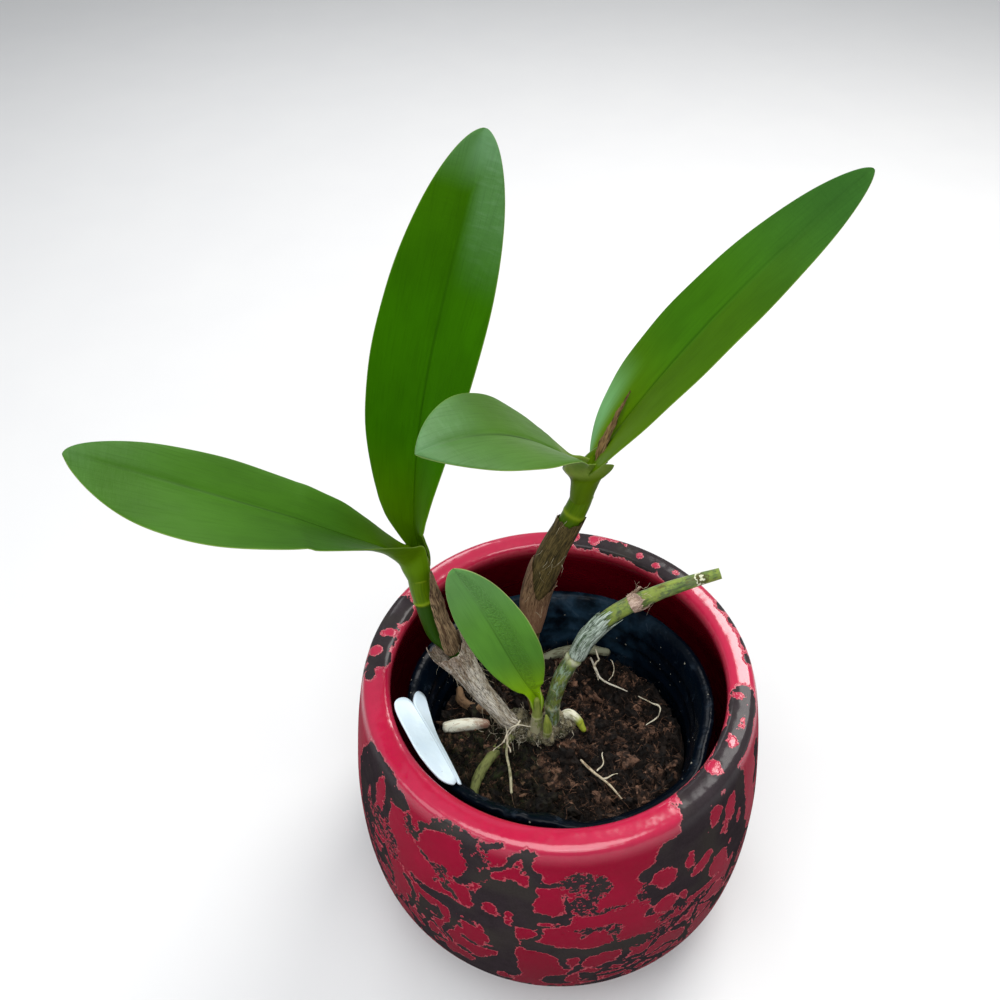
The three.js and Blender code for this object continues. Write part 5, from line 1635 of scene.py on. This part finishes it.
ROOTS = {
    # node: (colour of the skin, colour of its stains, green at the tip, knots)
    "root_white_left": ((228, 228, 210), (196, 184, 160), 0.0, [
        (-45, 2, 88.5, 2.2), (-42.5, 2.4, 88.5, 2.5), (-39, 3, 88.4, 2.6), (-33, 4, 87.6, 2.4),
        (-28.5, 4.6, 86.4, 1.8)]),
    "root_brown_left": ((118, 92, 66), (70, 52, 38), 0.0, [
        (-39.6, 21.5, 87.4, 1.4), (-38.6, 15.5, 88, 2.1), (-34.3, 12, 88.1, 1.9), (-28.9, 10.8, 87.8, 2.0),
        (-22.6, 9.4, 87, 2.1), (-18, 5.5, 87, 2.0)]),
    "root_green_front": ((112, 118, 66), (76, 80, 44), 0.0, [
        (-17.5, -2.5, 89, 1.7), (-24.4, -10.5, 90.2, 2.0), (-30, -19, 91, 2.0), (-33, -27, 91.2, 1.9),
        (-34, -33, 88.6, 1.5)]),
    "root_tip_right": ((214, 212, 190), (150, 150, 110), 0.36, [
        (2.5, 5, 87.8, 1.9), (5.5, 6.4, 89, 2.1), (8.8, 3.9, 89.2, 1.8), (11.4, -0.4, 87.6, 1.1)]),
    "root_pale_back": ((124, 126, 104), (86, 84, 64), 0.0, [
        (-4, 38.5, 84, 1.7), (5, 41, 85.3, 2.2), (15, 42, 85.6, 2.3), (25, 40.6, 84.8, 1.6)]),
    "root_fine_front": ((176, 170, 140), (120, 118, 84), 0.0, [
        (-19.6, -4.6, 91.4, 0.6), (-20.4, -13, 92, 0.48), (-19.2, -22, 92.8, 0.6), (-19, -31, 93.2, 0.5)]),
    "root_fine_right": ((186, 172, 146), (120, 98, 74), 0.0, [
        (8.8, -16, 90.4, 0.42), (13, -22, 91.6, 0.5), (18.4, -28, 92.4, 0.46), (23, -34, 91.6, 0.25)]),
    "root_fine_back": ((206, 200, 184), (160, 150, 130), 0.0, [
        (17.6, 37.5, 85, 0.4), (19, 30, 87.3, 0.5), (21.2, 23.5, 88.2, 0.42), (31, 17.5, 88, 0.25)]),
}
HAIR_ROOTS = [
    [(-25.5, -13.5, 93.5, 0.2), (-20, -7, 95.5, 0.25), (-14.5, -1.5, 97.2, 0.3)],
    [(-21.5, -9.5, 95.5, 0.2), (-19.5, -5.5, 97, 0.25), (-15, -3.5, 98, 0.25), (-9.5, -4.5, 97, 0.2)],
    [(-20.4, -4, 98.5, 0.2), (-20.2, -9, 95.4, 0.3), (-19, -14, 94, 0.25)],
    [(20.3, 26, 86.4, 0.3), (18.6, 30.5, 87.5, 0.35), (20.5, 34, 88.6, 0.3), (19.2, 38.5, 88.4, 0.25)],
    [(25.5, 33.5, 88.5, 0.2), (26.2, 28.5, 88.6, 0.25), (24.6, 22.5, 88.2, 0.2)],
    [(14, -22.5, 92.8, 0.3), (16.5, -19.5, 93.4, 0.25), (17.8, -15, 93.6, 0.2)],
    [(16.6, -26, 93, 0.3), (19.8, -24.5, 93.4, 0.2), (22.4, -25.4, 93.2, 0.15)],
    [(36, 16, 86.6, 0.2), (41, 11, 88.2, 0.3), (44, 7, 88.8, 0.3), (40.5, 3, 88.4, 0.3), (37, 0.5, 88, 0.2)],
]


def root_paint(name, skin_colour, stain, pits=0.3, far=None):
    """Grained skin with dark pits. It can be another colour towards its far end."""
    paint = Paint(name, Specular_IOR_Level=0.3)
    grain = paint.noise(1.1, 4, paint.flow(1, 1, 0.3), 0.65)
    coats = []
    if far:
        ragged = paint.add(paint.value("share"), paint.wobble(2.4, 0.4, 4))
        coats.append((paint.span(ragged, 0.62, 1.05), 1, far))
    colour = paint.layers(
        paint.mix(paint.span(grain, 0.52, 0.36), skin_colour, stain), *coats,
        (paint.specks(1.3, 0.15, pits), 0.7, (70, 52, 38)),
        (paint.value("tip"), 1, ROOT_GREEN),
    )
    return paint.finish(Base_Color=colour, Roughness=0.8, Normal=paint.bump(grain, 0.18))


def add_roots():
    for number, (node, (skin_colour, stain, tip, knots)) in enumerate(ROOTS.items()):
        thick = knots[1][3] > 1

        def swell(along, angle, share):
            knobs = rough_noise(round_place(angle, along / 2.4, 2), 1.0, 70 + number)
            return (0.16 if thick else 0.07) * knobs

        body = tube(knots, 120, 30 if thick else 12, swell, (0.6, 0.9))
        share = body[2]["share"]
        body[2]["tip"] = ramp(share, 1 - tip - 0.12, 1 - tip + 0.12) if tip else 0 * share
        own = dict(pits=0.45, far=(146, 110, 92)) if node == "root_white_left" else {}
        paint = root_paint(node + "_skin", skin_colour, stain, **own)
        add_piece(node.replace("root", "aerial_root"), body, paint, [node])


def add_hair_roots():
    """The hair-thin roots round the rhizome and on the medium."""
    rng = np.random.default_rng(81)
    parts = []
    for line in HAIR_ROOTS:
        points, faces, values = tube(line, 40, 7, bulge=(0.5, 0.5))
        wander = 0.9 * np.stack([noise(points, 3.2, 82 + axis) for axis in range(3)], axis=-1)
        parts.append((points + wander, faces, {**values, "tip": 0 * values["share"]}))
    count = 170
    starts = np.array([(-15.5, 1, 93), (-8, -5, 92), (-2, 1, 93), (-19, 0, 90)])[rng.integers(0, 4, count)]
    starts = starts + rng.normal(size=(count, 3)) * [4.0, 3.2, 1.2]
    headings = rng.normal(size=(count, 3)) * [1, 1, 0.45] + [0, -0.4, 0.0]
    lengths = rng.uniform(2, 8, count)
    radii = rng.uniform(0.06, 0.13, count)
    parts.append(loose_threads(starts, headings, lengths, radii, rng, joints=7, curl=0.35, lift=-0.1))
    paint = root_paint("hair_root_skin", (206, 198, 176), (150, 138, 112))
    add_piece("hair_roots", merge(parts), paint)


# ---------- plant label ----------

LABEL_FOOT = np.array([-39.2, -39.2, 120.2])
LABEL_ALONG = (-0.475, 0.87, 0.13)
LABEL_FACE = (0.38, 0.087, 0.921)
LABEL_FOLD = 0.45
LABEL_THICKNESS = 0.8
WIDE_WING = [
    (0, -2), (0, 8), (0, 20), (-0.1, 30), (-0.4, 34), (-1.6, 35.9), (-3.4, 36.4), (-5.6, 36), (-7.6, 34.4),
    (-9, 30), (-9.6, 22), (-9.5, 11), (-6.6, 1), (-2.6, -2.8),
]
NARROW_WING = [
    (0, -2.8), (1.4, -3.2), (1.9, 5), (2.3, 15), (4, 22.6), (6.7, 30), (8.6, 35.4), (8.5, 37.6), (7.4, 38.8),
    (5.6, 38.5), (3.4, 36.6), (0.9, 33.6), (0.2, 30), (0, 20), (0, 8),
]


def label_paint():
    """White plastic, a little grimy."""
    paint = Paint("white_label_plastic", IOR=1.46, Specular_IOR_Level=0.45)
    colour = paint.layers(
        paint.mix(paint.noise(9, 3), (203, 222, 237), (222, 235, 243)),
        (paint.specks(3.4, 0.2, 0.22), 0.75, (70, 66, 60)),
        (paint.span(paint.noise(4, 4), 0.6, 0.75), 0.18, (150, 150, 140)),
    )
    return paint.finish(Base_Color=colour, Roughness=0.38, Normal=paint.bump(paint.noise(7, 2), 0.4))


def wing(outline, turn):
    """A thin plate with this outline, filled from its middle and bent at the crease, in the label's frame."""
    edge = spline([(x, y, 0) for x, y in outline + outline[:1]], 110)[:-1]
    centre = edge.mean(axis=0)
    shares = np.linspace(1, 0.02, 10)
    flat = centre + (edge - centre) * shares[:, None, None]
    x, y, _ = np.moveaxis(flat, -1, 0)
    curl = 0.35 * np.sin(y / 9) + 0.012 * x**2
    upper, lower = (xyz(x, y, curl + side * LABEL_THICKNESS / 2) for side in (1, -1))
    x, y, z = np.moveaxis(np.concatenate([upper[::-1], lower]), -1, 0)
    c, s = math.cos(turn), math.sin(turn)
    return skin(xyz(x * c + z * s, y, z * c - x * s), {})


def add_label():
    along = unit(np.array(LABEL_ALONG))
    face = np.array(LABEL_FACE)
    face = unit(face - (face @ along) * along)
    basis = np.stack([np.cross(along, face), along, face])
    points, faces, _ = merge([wing(WIDE_WING, 0.0), wing(NARROW_WING, LABEL_FOLD)])
    body = points @ basis + LABEL_FOOT, faces, {}
    add_piece("creased_label", body, label_paint(), ["plant_label"])


# ---------- the whole ----------

add_camera()
add_studio()
add_glazed_pot()
add_liner()
add_potting_medium()
add_leaves()
add_stems()
add_sheaths()
add_torn_threads()
add_rhizome()
add_roots()
add_hair_roots()
add_label()
